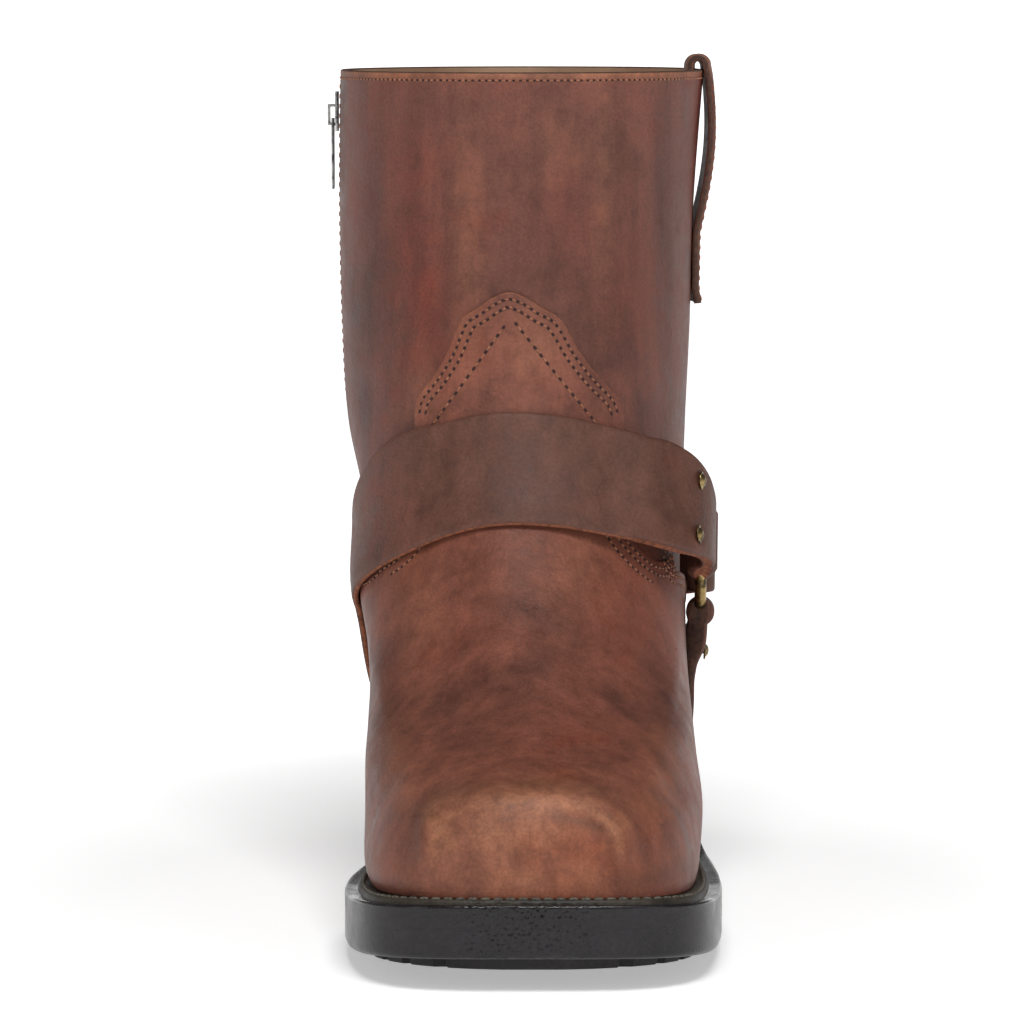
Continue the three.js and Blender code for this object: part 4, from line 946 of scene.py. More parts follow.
def make_heel_counter():
    """The counter: a cup of leather round the heel, highest at the back."""
    share = np.linspace(0, 1, 181)
    rows = 60

    def angle_of(level):
        lead = angle_at(SEAM_BACK + GAP, level, 1)
        tail = 2 * math.pi + angle_at(SEAM_BACK + GAP, level, -1)
        return mix(lead, tail, share[:, None] if np.ndim(level) == 2 else share)

    def top_gap(level):
        place = skin(angle_of(level), level)
        return place[..., 2] - counter_height(place[..., 1])

    top = bisect(top_gap, np.zeros(share.shape), np.full(share.shape, LAST - 1.0))
    t = 0.03 + (top[:, None] - 0.03) * np.linspace(0, 1, rows)[None]
    piece = mesh_piece("heel_counter_leather", offset(angle_of(t), t, OVERLAY_HIGH), grid_faces(len(share), rows),
                       [finish("oiled_vamp_leather"), finish("inked_leather_edge")])
    thicken(piece, OVERLAY_THICK, 0.35)
    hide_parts("heel_counter")
    for number, inset in enumerate((2.2, 4.6)):
        shift = inset / 17
        level = top - shift
        keep = slice(4, -4)
        row_on_skin(f"counter_stitches_{number + 1}", angle_of(level)[keep], level[keep], OVERLAY_HIGH, 3.0, slot="vamp_leather")


# Harness
RING_PLACE = side_place(RING_BACK, RING_HEIGHT, 1)
RING_NORMAL = skin_normal(*RING_PLACE)
RING_CENTRE = offset(*RING_PLACE, RING_STANDOFF)
ACROSS = np.array([-1, -0.97, -0.9, -0.75, -0.5, -0.25, 0, 0.25, 0.5, 0.75, 0.9, 0.97, 1])


def leather_half(r, doubled):
    return mix(STRAP_THICK, STRAP_THICK / 2, smooth((r - doubled + 4) / 8))


def fold_half(r):
    share = np.minimum(1, np.abs(r - RING_RADIUS) / FOLD_HALF)
    return np.sqrt(1 - share * share) * FOLD_HALF


def strap_half_width(r, strap):
    return mix(strap["end_half"], strap["half"], smooth((r - RING_RADIUS) / strap["widens"]))


def directions(strap):
    away = np.array([math.cos(strap["slope"]), math.sin(strap["slope"])])
    across = np.array([-math.sin(strap["slope"]), math.cos(strap["slope"])])
    return away, across * (-1 if away[0] < 0 else 1)


def lifted_middle(angle, t, r, half, lifted):
    """Middle of the strap's leather: in the ring's plane near the ring, and down on the boot further out."""
    normal = skin_normal(angle, t)
    bow = RING_BOW * smooth((r - RING_RADIUS + 3) / 10) * (1 - smooth((r - 30) / 26))
    on_skin = skin(angle, t) + normal * (STRAP_LOW + half)[..., None]
    away = (on_skin - RING_CENTRE) @ RING_NORMAL
    blend = smooth((r - FOLD_BACK) / (lifted - FOLD_BACK))
    direction = unit(RING_NORMAL * (1 - blend)[..., None] + normal * blend[..., None])
    return on_skin + RING_NORMAL * ((blend - 1) * away + bow * (lifted > 60))[..., None], direction


def side_section(strap, r, c, side=1):
    """Angles and levels across the strap at a distance from the ring, square to its run."""
    away, across = directions(strap)
    shift = c * strap_half_width(r, strap)
    s = RING_BACK + away[0] * r + across[0] * shift
    z = RING_HEIGHT + away[1] * r + across[1] * shift
    return side_place(s, np.maximum(z, sole_top(s) + GAP), side)


def run_edges(angle, strap, side, sign, single_half=None):
    """Level of the strap's edge on the column at this angle."""
    def beyond(t):
        place = skin(angle, t)
        middle, cosine, half = run_line(place, strap, side)
        return (place[..., 2] - middle) * cosine - sign * half
    return bisect(beyond, np.full(angle.shape, 2.0), np.full(angle.shape, LAST - 1.0))


def run_line(place, strap, side):
    """Middle line, slope and half width of a run in the side view."""
    s, z = place[..., 1], place[..., 2]
    front_slope = math.tan(math.pi - STRAPS["front"]["slope"])
    heel_slope = math.tan(STRAPS["heel"]["slope"])
    if side > 0:
        slope = -front_slope if strap["slope"] > 1 else heel_slope
        middle = RING_HEIGHT + slope * (s - RING_BACK)
        away, _ = directions(strap)
        r = (s - RING_BACK) * away[0] + (z - RING_HEIGHT) * away[1]
        if strap["slope"] < 1:
            return middle, math.cos(math.atan(slope)), strap_half_width(r, strap)
        ahead = RING_BACK - s
        spread = INSTEP_SPREAD * smooth((ahead - 14) / 50)
        droop = INSTEP_DROOP * smooth((ahead - 55) / 45)
        return middle - droop, math.cos(math.atan(slope)), strap_half_width(r, strap) + spread
    soft = 7.0
    lead = soft * np.logaddexp(0, (RING_BACK - s) / soft)
    turn = 1 / (1 + np.exp(-(RING_BACK - s) / soft))
    ahead = RING_BACK - s
    middle = RING_HEIGHT + front_slope * lead - heel_slope * ahead * (1 - smooth(ahead / 60))
    half = mix(STRAPS["heel"]["half"], STRAPS["front"]["half"], smooth((ahead + 15) / 30))
    lift = INNER_RISE * smooth((RIDGE_MIDDLE - 18 - place[..., 0]) / 22) * smooth((ahead + 4) / 34)
    half = half + INSTEP_SPREAD * smooth((ahead - 14) / 50) + lift * 0.82
    middle = middle - INSTEP_DROOP * smooth((ahead - 55) / 45) + lift
    return middle, np.cos(np.arctan(front_slope * turn)), half


def strap_piece(name, middles, normals, halves, edge="cut_leather_edge", floor=None):
    """A strap's solid from sections across it, with rounded edges, grooved where it lies double."""
    middles = np.asarray(middles)
    normals = np.asarray(normals)
    halves = np.asarray(halves)[:, None] * np.ones(middles.shape[:2])
    edge_drop = np.where(np.abs(ACROSS) > 0.99, 0.55, np.where(np.abs(ACROSS) > 0.96, 0.9, 1.0))
    high = middles + normals * (halves * edge_drop)[..., None]
    low = middles - normals * (halves * edge_drop)[..., None]
    if floor is not None:
        low = floor(low)
    double = smooth((halves[:, 0] - 1.4) / 0.8)[:, None]
    bulge = mix(0.22, -0.55, double)
    left = middles[:, 0] + unit(middles[:, 0] - middles[:, 2]) * bulge
    right = middles[:, -1] + unit(middles[:, -1] - middles[:, -3]) * bulge
    ring = np.concatenate([high, right[:, None], low[:, ::-1], left[:, None]], axis=1)
    count = ring.shape[1]
    faces = [tuple(reversed(f)) for f in grid_faces(len(ring), count, wrap_rows=True)]
    wide = len(ACROSS)
    slots = []
    for f in faces:
        j = min(k % count for k in f) if max(k % count for k in f) - min(k % count for k in f) == 1 else count - 1
        slots.append(1 if j in (wide - 1, wide, count - 2, count - 1) else 0)
    faces.append(tuple(range(count)))
    last = (len(ring) - 1) * count
    faces.append(tuple(last + k for k in reversed(range(count))))
    slots += [1, 1]
    piece = mesh_piece(name, ring, faces, [finish("waxed_strap_leather"), finish(edge)], slots)
    return piece


def fold_radii(stop):
    ends = np.array([0.995, 0.95, 0.85, 0.7, 0.55, 0.4, 0.25, 0.12, 0]) * FOLD_HALF
    near = np.concatenate([RING_RADIUS - ends, RING_RADIUS + ends[1:-1][::-1]])
    return np.concatenate([near, np.arange(FOLD_BACK, stop, 0.9)])


def end_sections(strap, stop):
    """Sections of a strap's end, from its fold round the ring out to a distance."""
    r = fold_radii(stop)
    seat = leather_half(r, strap["doubled"])
    flat = np.where(r < RING_RADIUS, 0.35, seat)
    halves = np.maximum(flat, fold_half(r))
    wide = r[:, None] + np.zeros(ACROSS.shape)
    a, t = side_section(strap, wide, ACROSS)
    if strap is not STRAPS["sole"]:
        amount = smooth((wide - 30) / 16)
        column = a[:, len(ACROSS) // 2, None] + np.zeros(ACROSS.shape)
        low = run_edges(column, strap, 1, -1)
        high = run_edges(column, strap, 1, 1)
        a = mix(a, column, amount)
        t = mix(t, mix(low, high, (ACROSS + 1) / 2), amount)
    middles, normals = lifted_middle(a, t, wide, seat[:, None] + np.zeros(wide.shape), strap["lifted"])
    return middles, normals, halves


def column_sections(angles, strap, side):
    """Sections of a strap's run, one on each column of the boot's skin."""
    away, _ = directions(strap)
    column = angles[:, None] + np.zeros(ACROSS.shape)
    low = run_edges(column, strap, side, -1)
    high = run_edges(column, strap, side, 1)
    t = mix(low, high, (ACROSS + 1) / 2)
    place = skin(column, t)
    r = (place[..., 1] - RING_BACK) * away[0] + (place[..., 2] - RING_HEIGHT) * away[1]
    if side < 0:
        r = np.full(r.shape, 2 * RING_BACK)
    halves = leather_half(r[:, len(ACROSS) // 2], strap["doubled"])
    middles, normals = lifted_middle(column, t, r, halves[:, None] + np.zeros(r.shape), strap["lifted"])
    return middles, normals, halves


def make_harness_strap():
    """The long strap: from the ring over the instep, round the inner side and the heel, back to the ring."""
    joined_at = 46.0
    front, heel = STRAPS["front"], STRAPS["heel"]
    starts = {}
    for word, strap in (("front", front), ("heel", heel)):
        a, _ = side_section(strap, joined_at, np.array([0.0]))
        starts[word] = float(a[0])
    parts = [end_sections(front, joined_at)]
    parts.append(column_sections(np.linspace(starts["front"] - 0.012, 0.0, 48), front, 1))
    parts.append(column_sections(np.linspace(-0.012, -math.pi, 190), front, -1))
    parts.append(column_sections(np.linspace(math.pi - 0.02, starts["heel"] + 0.012, 60), heel, 1))
    tail = end_sections(heel, joined_at)
    parts.append(tuple(part[::-1] for part in tail))
    piece = strap_piece("harness_strap_leather", *(np.concatenate([part[k] for part in parts]) for k in range(3)))
    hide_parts("harness_strap")
    make_inner_leg()


def make_inner_leg():
    """On the inner side, the leg that goes down from the long strap to the sole."""
    strap = {**STRAPS["sole"], "half": 13.0}
    away, across = directions(strap)
    r = np.linspace(8, RING_HEIGHT - float(sole_top(RING_BACK)) + 4, 80)[:, None]
    shift = ACROSS * strap["half"]
    s = RING_BACK + away[0] * r + across[0] * shift
    z = RING_HEIGHT + away[1] * r + across[1] * shift
    a, t = side_place(s, np.maximum(z, sole_top(s) + GAP), -1)
    half = STRAP_THICK / 2
    strap_piece("inner_leg_leather", offset(a, t, STRAP_LOW + half - 0.2), skin_normal(a, t), np.full(len(r), half))


def make_sole_strap():
    """The short strap from the ring down to the sole, on the outer side."""
    strap = STRAPS["sole"]
    reach = RING_HEIGHT - float(sole_top(RING_BACK)) + strap["half"] / 2
    r = fold_radii(reach)[:, None] + np.zeros(ACROSS.shape)
    seat = offset(*side_section(strap, r, ACROSS), STRAP_LOW)
    amount = smooth((r - RING_RADIUS) / 6)[..., None]
    # The darker inked edge here is partly the edge's own dye and partly painted shade for this strap low under the
    # ring.
    piece = strap_piece("sole_strap_leather", *end_sections(strap, reach), edge="inked_leather_edge",
                        floor=lambda low: mix(low, seat, amount))
    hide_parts("sole_strap")


def make_ring():
    """The harness ring: round wire."""
    around, wire = 96, 16
    normal = RING_NORMAL.reshape(3)
    first = unit(np.cross(normal, np.array([0.0, 0.0, 1.0])))
    second = np.cross(normal, first)
    points = []
    for i in range(around):
        a = 2 * math.pi * i / around
        out = first * math.cos(a) + second * math.sin(a)
        for j in range(wire):
            b = 2 * math.pi * j / wire
            points.append(RING_CENTRE.reshape(3) + out * (RING_RADIUS + RING_WIRE * math.cos(b)) - normal * RING_WIRE * math.sin(b))
    piece = mesh_piece("harness_ring", np.array(points), grid_faces(around, wire, True, True), [finish("antique_brass_with_painted_shade")], wear_and_light=False)
    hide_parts("ring")


def make_studs():
    """Domed studs with a rolled rim, pressed into the doubled leather by the ring."""
    profile = ((0, -1.2), (1.1, -1.2), (1.1, 0.15), (0.92, 0.2), (1.0, 0.35), (1.0, 0.6), (0.93, 0.78), (0.82, 0.72), (0.72, 0.8),
               (0.6, 1.25), (0.42, 1.6), (0.2, 1.8), (0, 1.85))
    for name, (word, r, c) in STUDS.items():
        strap = STRAPS[word]
        a, t = side_section(strap, float(r), np.array([float(c)]))
        half = float(leather_half(r, strap["doubled"]))
        middle, normal = lifted_middle(a, t, np.array([float(r)]), np.array([half]), strap["lifted"])
        seat = middle[0] + normal[0] * half
        first = unit(np.cross(normal[0], np.array([0.0, 0.0, 1.0])))
        second = np.cross(normal[0], first)
        around = 28
        points = []
        for i in range(around):
            b = 2 * math.pi * i / around
            out = first * math.cos(b) + second * math.sin(b)
            for j, (x, y) in enumerate(profile):
                radius = x if 0 < j < 3 else x * STUD_RADIUS
                points.append(seat + out * radius + normal[0] * y)
        piece = mesh_piece(f"{name}_dome", np.array(points), grid_faces(around, len(profile), wrap_columns=True), [finish("antique_brass_with_painted_shade")], wear_and_light=False)
        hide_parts(name)


# Pull strap
def make_pull_strap():
    """The pull strap: looped over the collar on the outer side, with two stitch rows down its outer leg."""
    collar = skin(math.pi / 2, float(LAST))
    half = PULL_THICK / 2
    inside = -(WALL + GAP + half)
    arch = GAP + half + WALL / 2
    top = float(collar[2]) + half
    path = [(inside, z) for z in np.linspace(top - PULL_INNER_DROP, top, 20)]
    for u in np.linspace(0, 1, 25)[1:]:
        path.append((-WALL / 2 - arch * math.cos(math.pi * u), top + arch * math.sin(math.pi * u)))
    for u in np.linspace(0, 1, 70)[1:]:
        bulge = PULL_BULGE * math.sin(math.pi * min(1, u / 0.7))
        flare = 0.9 * float(smooth((u - 0.93) / 0.07))
        path.append((GAP + half + bulge + flare, top - u * PULL_OUTER_DROP))
    path = np.array(path)
    along = unit(np.gradient(path, axis=0))
    across = np.stack([-along[:, 1], along[:, 0]], axis=-1)
    s = float(collar[1]) + ACROSS * PULL_WIDTH / 2
    out, z = path[:, :1], path[:, 1:]
    a, t = side_place(s + 0 * z, np.minimum(z, float(collar[2]) - 2) + 0 * s, 1)
    level = skin_normal(a, t)
    level[..., 2] = 0
    level = unit(level)
    middles = skin(a, t) + level * out[..., None]
    middles[..., 2] = z + 0 * s
    normals = unit(level * across[:, None, :1] + np.array([0, 0, 1.0]) * across[:, None, 1:])
    piece = strap_piece("pull_strap_leather", middles, normals, np.full(len(middles), half), edge="inked_leather_edge")
    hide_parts("pull_strap")
    for number, column in enumerate((2, len(ACROSS) - 3)):
        rows = slice(48, None)
        line = middles[rows, column] + normals[rows, column] * half
        outward = unit(normals[rows, column])
        stitch_row(f"pull_stitches_{number + 1}", line, outward, 3.2, slot="strap_leather")


# Zip
def make_zip():
    """Cloth tape behind the slot, and the closed chain of teeth down its middle."""
    height = np.linspace(ZIP_FOOT - 5, ZIP_TOP, 110)
    s = ZIP_BACK + np.linspace(-ZIP_TAPE_HALF, ZIP_TAPE_HALF, 25)
    grid_s, grid_z = np.meshgrid(s, height, indexing="ij")
    a, t = side_place(grid_s, grid_z, -1)
    points = offset(a, t, -WALL - GAP)
    faces = [tuple(reversed(f)) for f in grid_faces(len(s), len(height))]
    tape = mesh_piece("zip_tape_cloth", points, faces, [finish("woven_zip_tape")], wear_and_light=False)
    solid = tape.modifiers.new("thickness", "SOLIDIFY")
    solid.thickness = ZIP_TAPE_THICK * MM
    solid.offset = -1
    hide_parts("zip_tape")
    make_teeth()


def make_teeth():
    vertices, faces = [], []
    count = int((ZIP_TOP - ZIP_FOOT - GAP) / (TOOTH_PITCH / 2))
    height = np.linspace(ZIP_FOOT + GAP + 1, ZIP_TOP - 1, count)
    a, t = side_place(np.full(count, ZIP_BACK), height, -1)
    seat = offset(a, t, -WALL)
    normals = skin_normal(a, t)
    up = unit(np.gradient(seat, axis=0))
    for k in range(count):
        side = 1 if k % 2 else -1
        across = np.cross(up[k], normals[k]) * side
        shape = ((-0.7, 0.30), (1.0, 0.30), (1.6, 0.45), (2.8, 0.42), (2.8, -0.42), (1.6, -0.45), (1.0, -0.30), (-0.7, -0.30))
        start = len(vertices)
        for depth, shrink in ((0.05, 1.0), (1.5, 1.0), (1.9, 0.8)):
            for x, z in shape:
                vertices.append(seat[k] + normals[k] * depth + across * (1.0 + (x - 1.0) * shrink) + up[k] * z * shrink)
        n = len(shape)
        for layer in range(2):
            for j in range(n):
                j2 = (j + 1) % n
                faces.append((start + layer * n + j, start + layer * n + j2, start + (layer + 1) * n + j2, start + (layer + 1) * n + j))
        faces.append(tuple(start + 2 * n + j for j in range(n)))
        faces.append(tuple(start + j for j in reversed(range(n))))
    piece = mesh_piece("zip_chain", np.array(vertices), faces, [finish("plated_zip_metal")], wear_and_light=False)
    piece.data.polygons.foreach_set("use_smooth", np.zeros(len(piece.data.polygons), bool))
    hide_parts("zip_teeth")


def dress_metal_node(name, body, width=0.28):
    """A rounded copy of a small metal solid, in its place."""
    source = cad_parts[name]
    mesh = source.data.copy()
    mesh.materials.clear()
    mesh.materials.append(finish("plated_zip_metal"))
    mesh.polygons.foreach_set("use_smooth", np.ones(len(mesh.polygons), bool))
    mesh.polygons.foreach_set("material_index", np.zeros(len(mesh.polygons), np.int32))
    piece = bpy.data.objects.new(name + "_metal", mesh)
    bpy.context.scene.collection.objects.link(piece)
    weld = piece.modifiers.new("weld", "WELD")
    weld.merge_threshold = 0.02 * MM
    bevel = piece.modifiers.new("round_edge", "BEVEL")
    bevel.width = width * MM
    bevel.segments = 3
    bevel.limit_method = "ANGLE"
    bevel.angle_limit = math.radians(40)
    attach(piece, body)
    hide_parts(name)


# Sole
AROUND_SOLE = 480


def swept_piece(name, profile, materials, slots_of=None):
    """A ring round the sole from a closed profile of insets and heights."""
    loops = []
    for inset, height in profile:
        plan = sole_outline(AROUND_SOLE, inset)
        loops.append(np.column_stack([plan, height(plan[:, 1])]))
    points = np.stack(loops, axis=1)
    faces = grid_faces(AROUND_SOLE, len(profile), True, True)
    slots = [slots_of(f[0] % len(profile)) for f in faces] if slots_of else None
    piece = mesh_piece(name, points, faces, materials, slots, wear_and_light=False)
    paint_pebbles(piece.data, points.reshape(-1, 3))
    crisp(piece)
    return piece


def crisp(piece):
    edge = piece.modifiers.new("crisp_edges", "EDGE_SPLIT")
    edge.split_angle = math.radians(50)


def paint_pebbles(mesh, points):
    """How pebbled the rubber is: most at the front of the toe, a little to the inner side."""
    front = 1 - smooth((points[:, 1] - 6) / 20)
    middle = np.exp(-(((points[:, 0] + 1) / 22) ** 4))
    layer = mesh.attributes.new("pebbled", "FLOAT", "POINT")
    layer.data.foreach_set("value", (0.08 + 0.92 * front * middle).astype(np.float32))


def make_welt():
    """The welt: a stitched strip against the upper and a smooth, glossy margin outside it."""
    stations = (1 - np.cos(np.linspace(0, 2 * math.pi, AROUND_SOLE, endpoint=False))) / 2
    hole = feather_inset(stations) + WALL + 1
    bottom = lambda s: slab_bottom(s) + OUTSOLE_THICK + MIDSOLE_THICK + 0.02
    level = lambda drop: (lambda s: sole_top(s) - drop)
    profile = [
        (hole, bottom), (0.0, bottom), (0.0, level(STRIP_RISE + 1.3)), (0.0, level(STRIP_RISE + 0.9)),
        (0.2, level(STRIP_RISE + 0.35)), (0.7, level(STRIP_RISE)), (1.5, level(STRIP_RISE + 0.02)), (2.8, level(STRIP_RISE + 0.3)),
        (STRIP_INSET - 0.25, level(STRIP_RISE + 0.25)), (STRIP_INSET - 0.05, level(STRIP_RISE - 0.3)),
        (STRIP_INSET + 0.2, level(0.3)), (STRIP_INSET + 0.7, level(0.02)), (STRIP_INSET + 1.5, level(0.05)),
        (STRIP_INSET + 2.6, level(0.1)), (hole, level(0.0)),
    ]
    pick = lambda j: 1 if 3 <= j <= 7 else (2 if j > 7 else 0)
    piece = swept_piece("welt_rubber", profile, [finish("wall_rubber"), finish("margin_rubber"), finish("welt_strip")], pick)
    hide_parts("welt")
    plan = sole_outline(900, STRIP_INSET + 1.45)
    line = np.column_stack([plan, sole_top(plan[:, 1])])
    up = np.tile([0.0, 0.0, 1.0], (len(line), 1))
    stitch_row("welt_stitches", line, up, 3.6, thread="welt_thread", length=0.86, radius=0.62, hole=0.5, closed=True, slot="welt")


def make_midsole():
    bottom = lambda s: slab_bottom(s) + OUTSOLE_THICK + 0.02
    top = lambda s: slab_bottom(s) + OUTSOLE_THICK + MIDSOLE_THICK
    profile = [(20, bottom), (0.0, bottom), (0.0, top), (20, top)]
    piece = swept_piece("midsole_rubber", profile, [finish("wall_rubber")])
    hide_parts("midsole")


def capped_loops(loops):
    """Points and faces of a solid through loops, closed across its first and last one."""
    points = np.stack(loops, axis=1)
    count, rows = points.shape[:2]
    faces = grid_faces(count, rows, wrap_columns=True)
    for i in range(count // 2):
        quad = [i, i + 1, (count - i - 1) % count, (count - i) % count]
        ordered = list(dict.fromkeys(quad))
        if len(ordered) > 2:
            faces.append(tuple(k * rows for k in ordered))
            faces.append(tuple(k * rows + rows - 1 for k in reversed(ordered)))
    return points.reshape(-1, 3), faces


def make_outsole():
    """The outsole slab and its lugs, cut across under the forefoot."""
    loops = []
    for inset, lift in ((1.5, 0.0), (0.9, 0.12), (0.4, 0.5), (0.1, 1.2), (0.0, 2.0), (0.0, 2.4), (0.0, OUTSOLE_THICK)):
        plan = sole_outline(AROUND_SOLE, inset)
        loops.append(np.column_stack([plan, slab_bottom(plan[:, 1]) + lift]))
    points, faces = capped_loops(loops)
    piece = mesh_piece("outsole_rubber", points, faces, [finish("wall_rubber")], wear_and_light=False)
    paint_pebbles(piece.data, points)
    crisp(piece)
    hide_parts("outsole")
    make_lugs()


def make_lugs():
    tread = sole_outline(1440, TREAD_INSET, TREAD_OUTLINE)
    outer = tread[:721]
    inner = tread[720:][::-1]
    inner = np.vstack([tread[:1], inner])
    vertices, faces = [], []
    front = TREAD_FRONT
    while front + LUG_LENGTH < TREAD_BACK:
        start_s = max(front, float(tread[:, 1].min()) + 0.2)
        s = np.linspace(start_s, front + LUG_LENGTH, 7)
        high = np.interp(s, outer[:, 1], outer[:, 0])
        low = np.interp(s, inner[:, 1], inner[:, 0])
        plan = np.vstack([np.column_stack([high, s]), np.column_stack([low, s])[::-1]])
        middle = plan.mean(axis=0)
        begin = len(vertices)
        for lift, draw in ((0.6, 0.0), (-TREAD_DEPTH + 0.5, 0.25), (-TREAD_DEPTH, 0.75)):
            inward = unit(middle - plan) * draw
            for x, y in plan + inward:
                vertices.append((x, y, float(slab_bottom(y)) + lift))
        n = len(plan)
        for layer in range(2):
            for j in range(n):
                j2 = (j + 1) % n
                faces.append((begin + layer * n + j, begin + (layer + 1) * n + j, begin + (layer + 1) * n + j2, begin + layer * n + j2))
        faces.append(tuple(begin + 2 * n + j for j in reversed(range(n))))
        front += LUG_PITCH
    piece = mesh_piece("tread_lugs", np.array(vertices), faces, [finish("tread_rubber")], wear_and_light=False)
    piece.data.polygons.foreach_set("use_smooth", np.zeros(len(piece.data.polygons), bool))


def heel_plan(inset, s_from, s_to):
    plan = sole_outline(1440, inset)
    outer = plan[:721]
    inner = np.vstack([plan[:1], plan[720:][::-1]])
    s = np.concatenate([np.linspace(s_from, s_to - 26, 24), s_to - 26 * np.cos(np.linspace(0, math.pi / 2, 60))[1:] ** 1.0]) if s_to > SOLE_LENGTH - 10 else np.linspace(s_from, s_to, 30)
    s = np.minimum(s, plan[:, 1].max() - 1e-3)
    high = np.interp(s, outer[:, 1], outer[:, 0])
    low = np.interp(s, inner[:, 1], inner[:, 0])
    return np.vstack([np.column_stack([high, s]), np.column_stack([low, s])[::-1]])


def make_heel():
    """The block heel: built up under the seat, with two treads and a groove between them."""
    blocks = (
        (HEEL_FRONT, SOLE_LENGTH, lambda s: slab_bottom(s) - 0.1, lambda s: np.full(s.shape, HEEL_GROOVE_DEPTH - 0.3), 0.6, 2.3),
        (HEEL_FRONT + 0.3, HEEL_GROOVE[0], lambda s: np.full(s.shape, HEEL_GROOVE_DEPTH - 0.2), lambda s: np.zeros(s.shape), 2.1, 2.5),
        (HEEL_GROOVE[1], SOLE_LENGTH, lambda s: np.full(s.shape, HEEL_GROOVE_DEPTH - 0.2), lambda s: np.zeros(s.shape), 2.1, 2.5),
    )
    for number, (s_from, s_to, top, bottom, top_inset, bottom_inset) in enumerate(blocks):
        loops = []
        for share in (0.0, 0.04, 0.35, 0.7, 0.96, 1.0):
            rounding = 0.35 if share in (0.0, 1.0) else 0.0
            plan = heel_plan(mix(top_inset, bottom_inset, share) + rounding, s_from, s_to)
            height = mix(top(plan[:, 1]), bottom(plan[:, 1]), share)
            loops.append(np.column_stack([plan, height]))
        points = np.stack(loops, axis=1)
        count, rows = points.shape[:2]
        faces = [tuple(reversed(f)) for f in grid_faces(count, rows, wrap_columns=True)]
        half = count // 2
        for i in range(half - 1):
            quad = (i, i + 1, count - i - 2, count - i - 1)
            faces.append(tuple(k * rows + rows - 1 for k in reversed(quad)))
            faces.append(tuple(k * rows for k in quad))
        piece = mesh_piece(f"heel_block_{number + 1}", points, faces, [finish("wall_rubber" if number == 0 else "tread_rubber")], wear_and_light=False)
        paint_pebbles(piece.data, points.reshape(-1, 3))
        crisp(piece)
        if number == 0:
            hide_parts("heel")


def make_insole():
    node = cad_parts["insole"]
    node.data.materials.clear()
    node.data.materials.append(finish("pigskin_lining"))


# Stage
CAMERA_AHEAD = 1300.0
CAMERA_HEIGHT = 262.0
CAMERA_SIDE = -5.0
CAMERA_TILT = 5.43
FOCAL_PIXELS = 4626.0
PICTURE_PIXELS = 1024.0
SENSOR = 36.0


def make_camera():
    data = bpy.data.cameras.new("photo_camera")
    data.sensor_width = SENSOR
    data.lens = FOCAL_PIXELS / PICTURE_PIXELS * SENSOR
    data.clip_end = 20
    camera = bpy.data.objects.new("photo_camera", data)
    camera.location = ((CAMERA_SIDE + SHIFT[0]) * MM, (SHIFT[1] - CAMERA_AHEAD) * MM, CAMERA_HEIGHT * MM)
    camera.rotation_euler = (math.radians(90 - CAMERA_TILT), 0, 0)
    bpy.context.scene.collection.objects.link(camera)
    bpy.context.scene.camera = camera


def soft_light(name, place, aim, size, power, colour="#ffffff"):
    data = bpy.data.lights.new(name, "AREA")
    data.shape = "RECTANGLE"
    data.size, data.size_y = size
    data.energy = power
    data.color = hex_colour(colour)[:3]
    light = bpy.data.objects.new(name, data)
    light.location = place
    light.rotation_euler = (Vector(aim) - Vector(place)).to_track_quat("-Z", "Y").to_euler()
    bpy.context.scene.collection.objects.link(light)


def make_stage():
    """A white bowl for floor and backdrop, a soft light above the toe and fill from both sides."""
    look = bpy.context.scene.boot_looks
    material, tree, shader = new_material("white_sweep")
    shader.inputs["Base Color"].default_value = hex_colour("#f7f7f7")
    shader.inputs["Roughness"].default_value = 0.9
    shader.inputs["Emission Color"].default_value = hex_colour("#ffffff")
    place = add(tree, "TexCoord").outputs["Object"]
    reach = add(tree, "VectorMath", {0: place}, operation="LENGTH").outputs["Value"]
    glow = add(tree, "MapRange", {"Value": reach, "From Min": 0.14, "From Max": 0.5, "To Min": 0.4, "To Max": 0.95})
    tree.links.new(glow.outputs[0], shader.inputs["Emission Strength"])
    profile = [(0.01, 0.0), (0.4, 0.0), (0.9, 0.0), (1.6, 0.0), (2.6, 0.0), (3.4, 0.0), (4.2, 0.0)]
    profile += [(4.2 + 0.6 * math.sin(a), 0.6 - 0.6 * math.cos(a)) for a in np.linspace(0, math.pi / 2, 12)[1:]]
    mesh = bpy.data.meshes.new("floor_sweep")
    around = 96
    turn = np.linspace(0, 2 * math.pi, around, endpoint=False)
    vertices = [(r * math.cos(a), r * math.sin(a), z) for a in turn for r, z in profile]
    faces = [tuple(reversed(f)) for f in grid_faces(around, len(profile), wrap_columns=True)]
    faces.append(tuple(i * len(profile) for i in range(around)))
    mesh.from_pydata(vertices, [], faces)
    mesh.materials.append(material)
    mesh.polygons.foreach_set("use_smooth", np.ones(len(mesh.polygons), bool))
    floor = bpy.data.objects.new("floor_sweep", mesh)
    bpy.context.scene.collection.objects.link(floor)
    world = bpy.data.worlds.new("studio")
    world.use_nodes = True
    world.node_tree.nodes["Background"].inputs["Color"].default_value = hex_colour("#ffffff")
    world.node_tree.nodes["Background"].inputs["Strength"].default_value = look.surround
    bpy.context.scene.world = world
    bpy.context.scene.view_settings.view_transform = "Standard"
    soft_light("top_light", (0.1, -0.8, 1.3), (0, 0.0, 0.1), (0.7, 0.5), look.key_power)
    soft_light("left_light", (-1.1, -0.9, 0.7), (0, 0, 0.12), (0.5, 1.0), look.fill_power)
    soft_light("right_light", (1.1, -0.9, 0.7), (0, 0, 0.12), (0.5, 1.0), look.fill_power)
    make_camera()


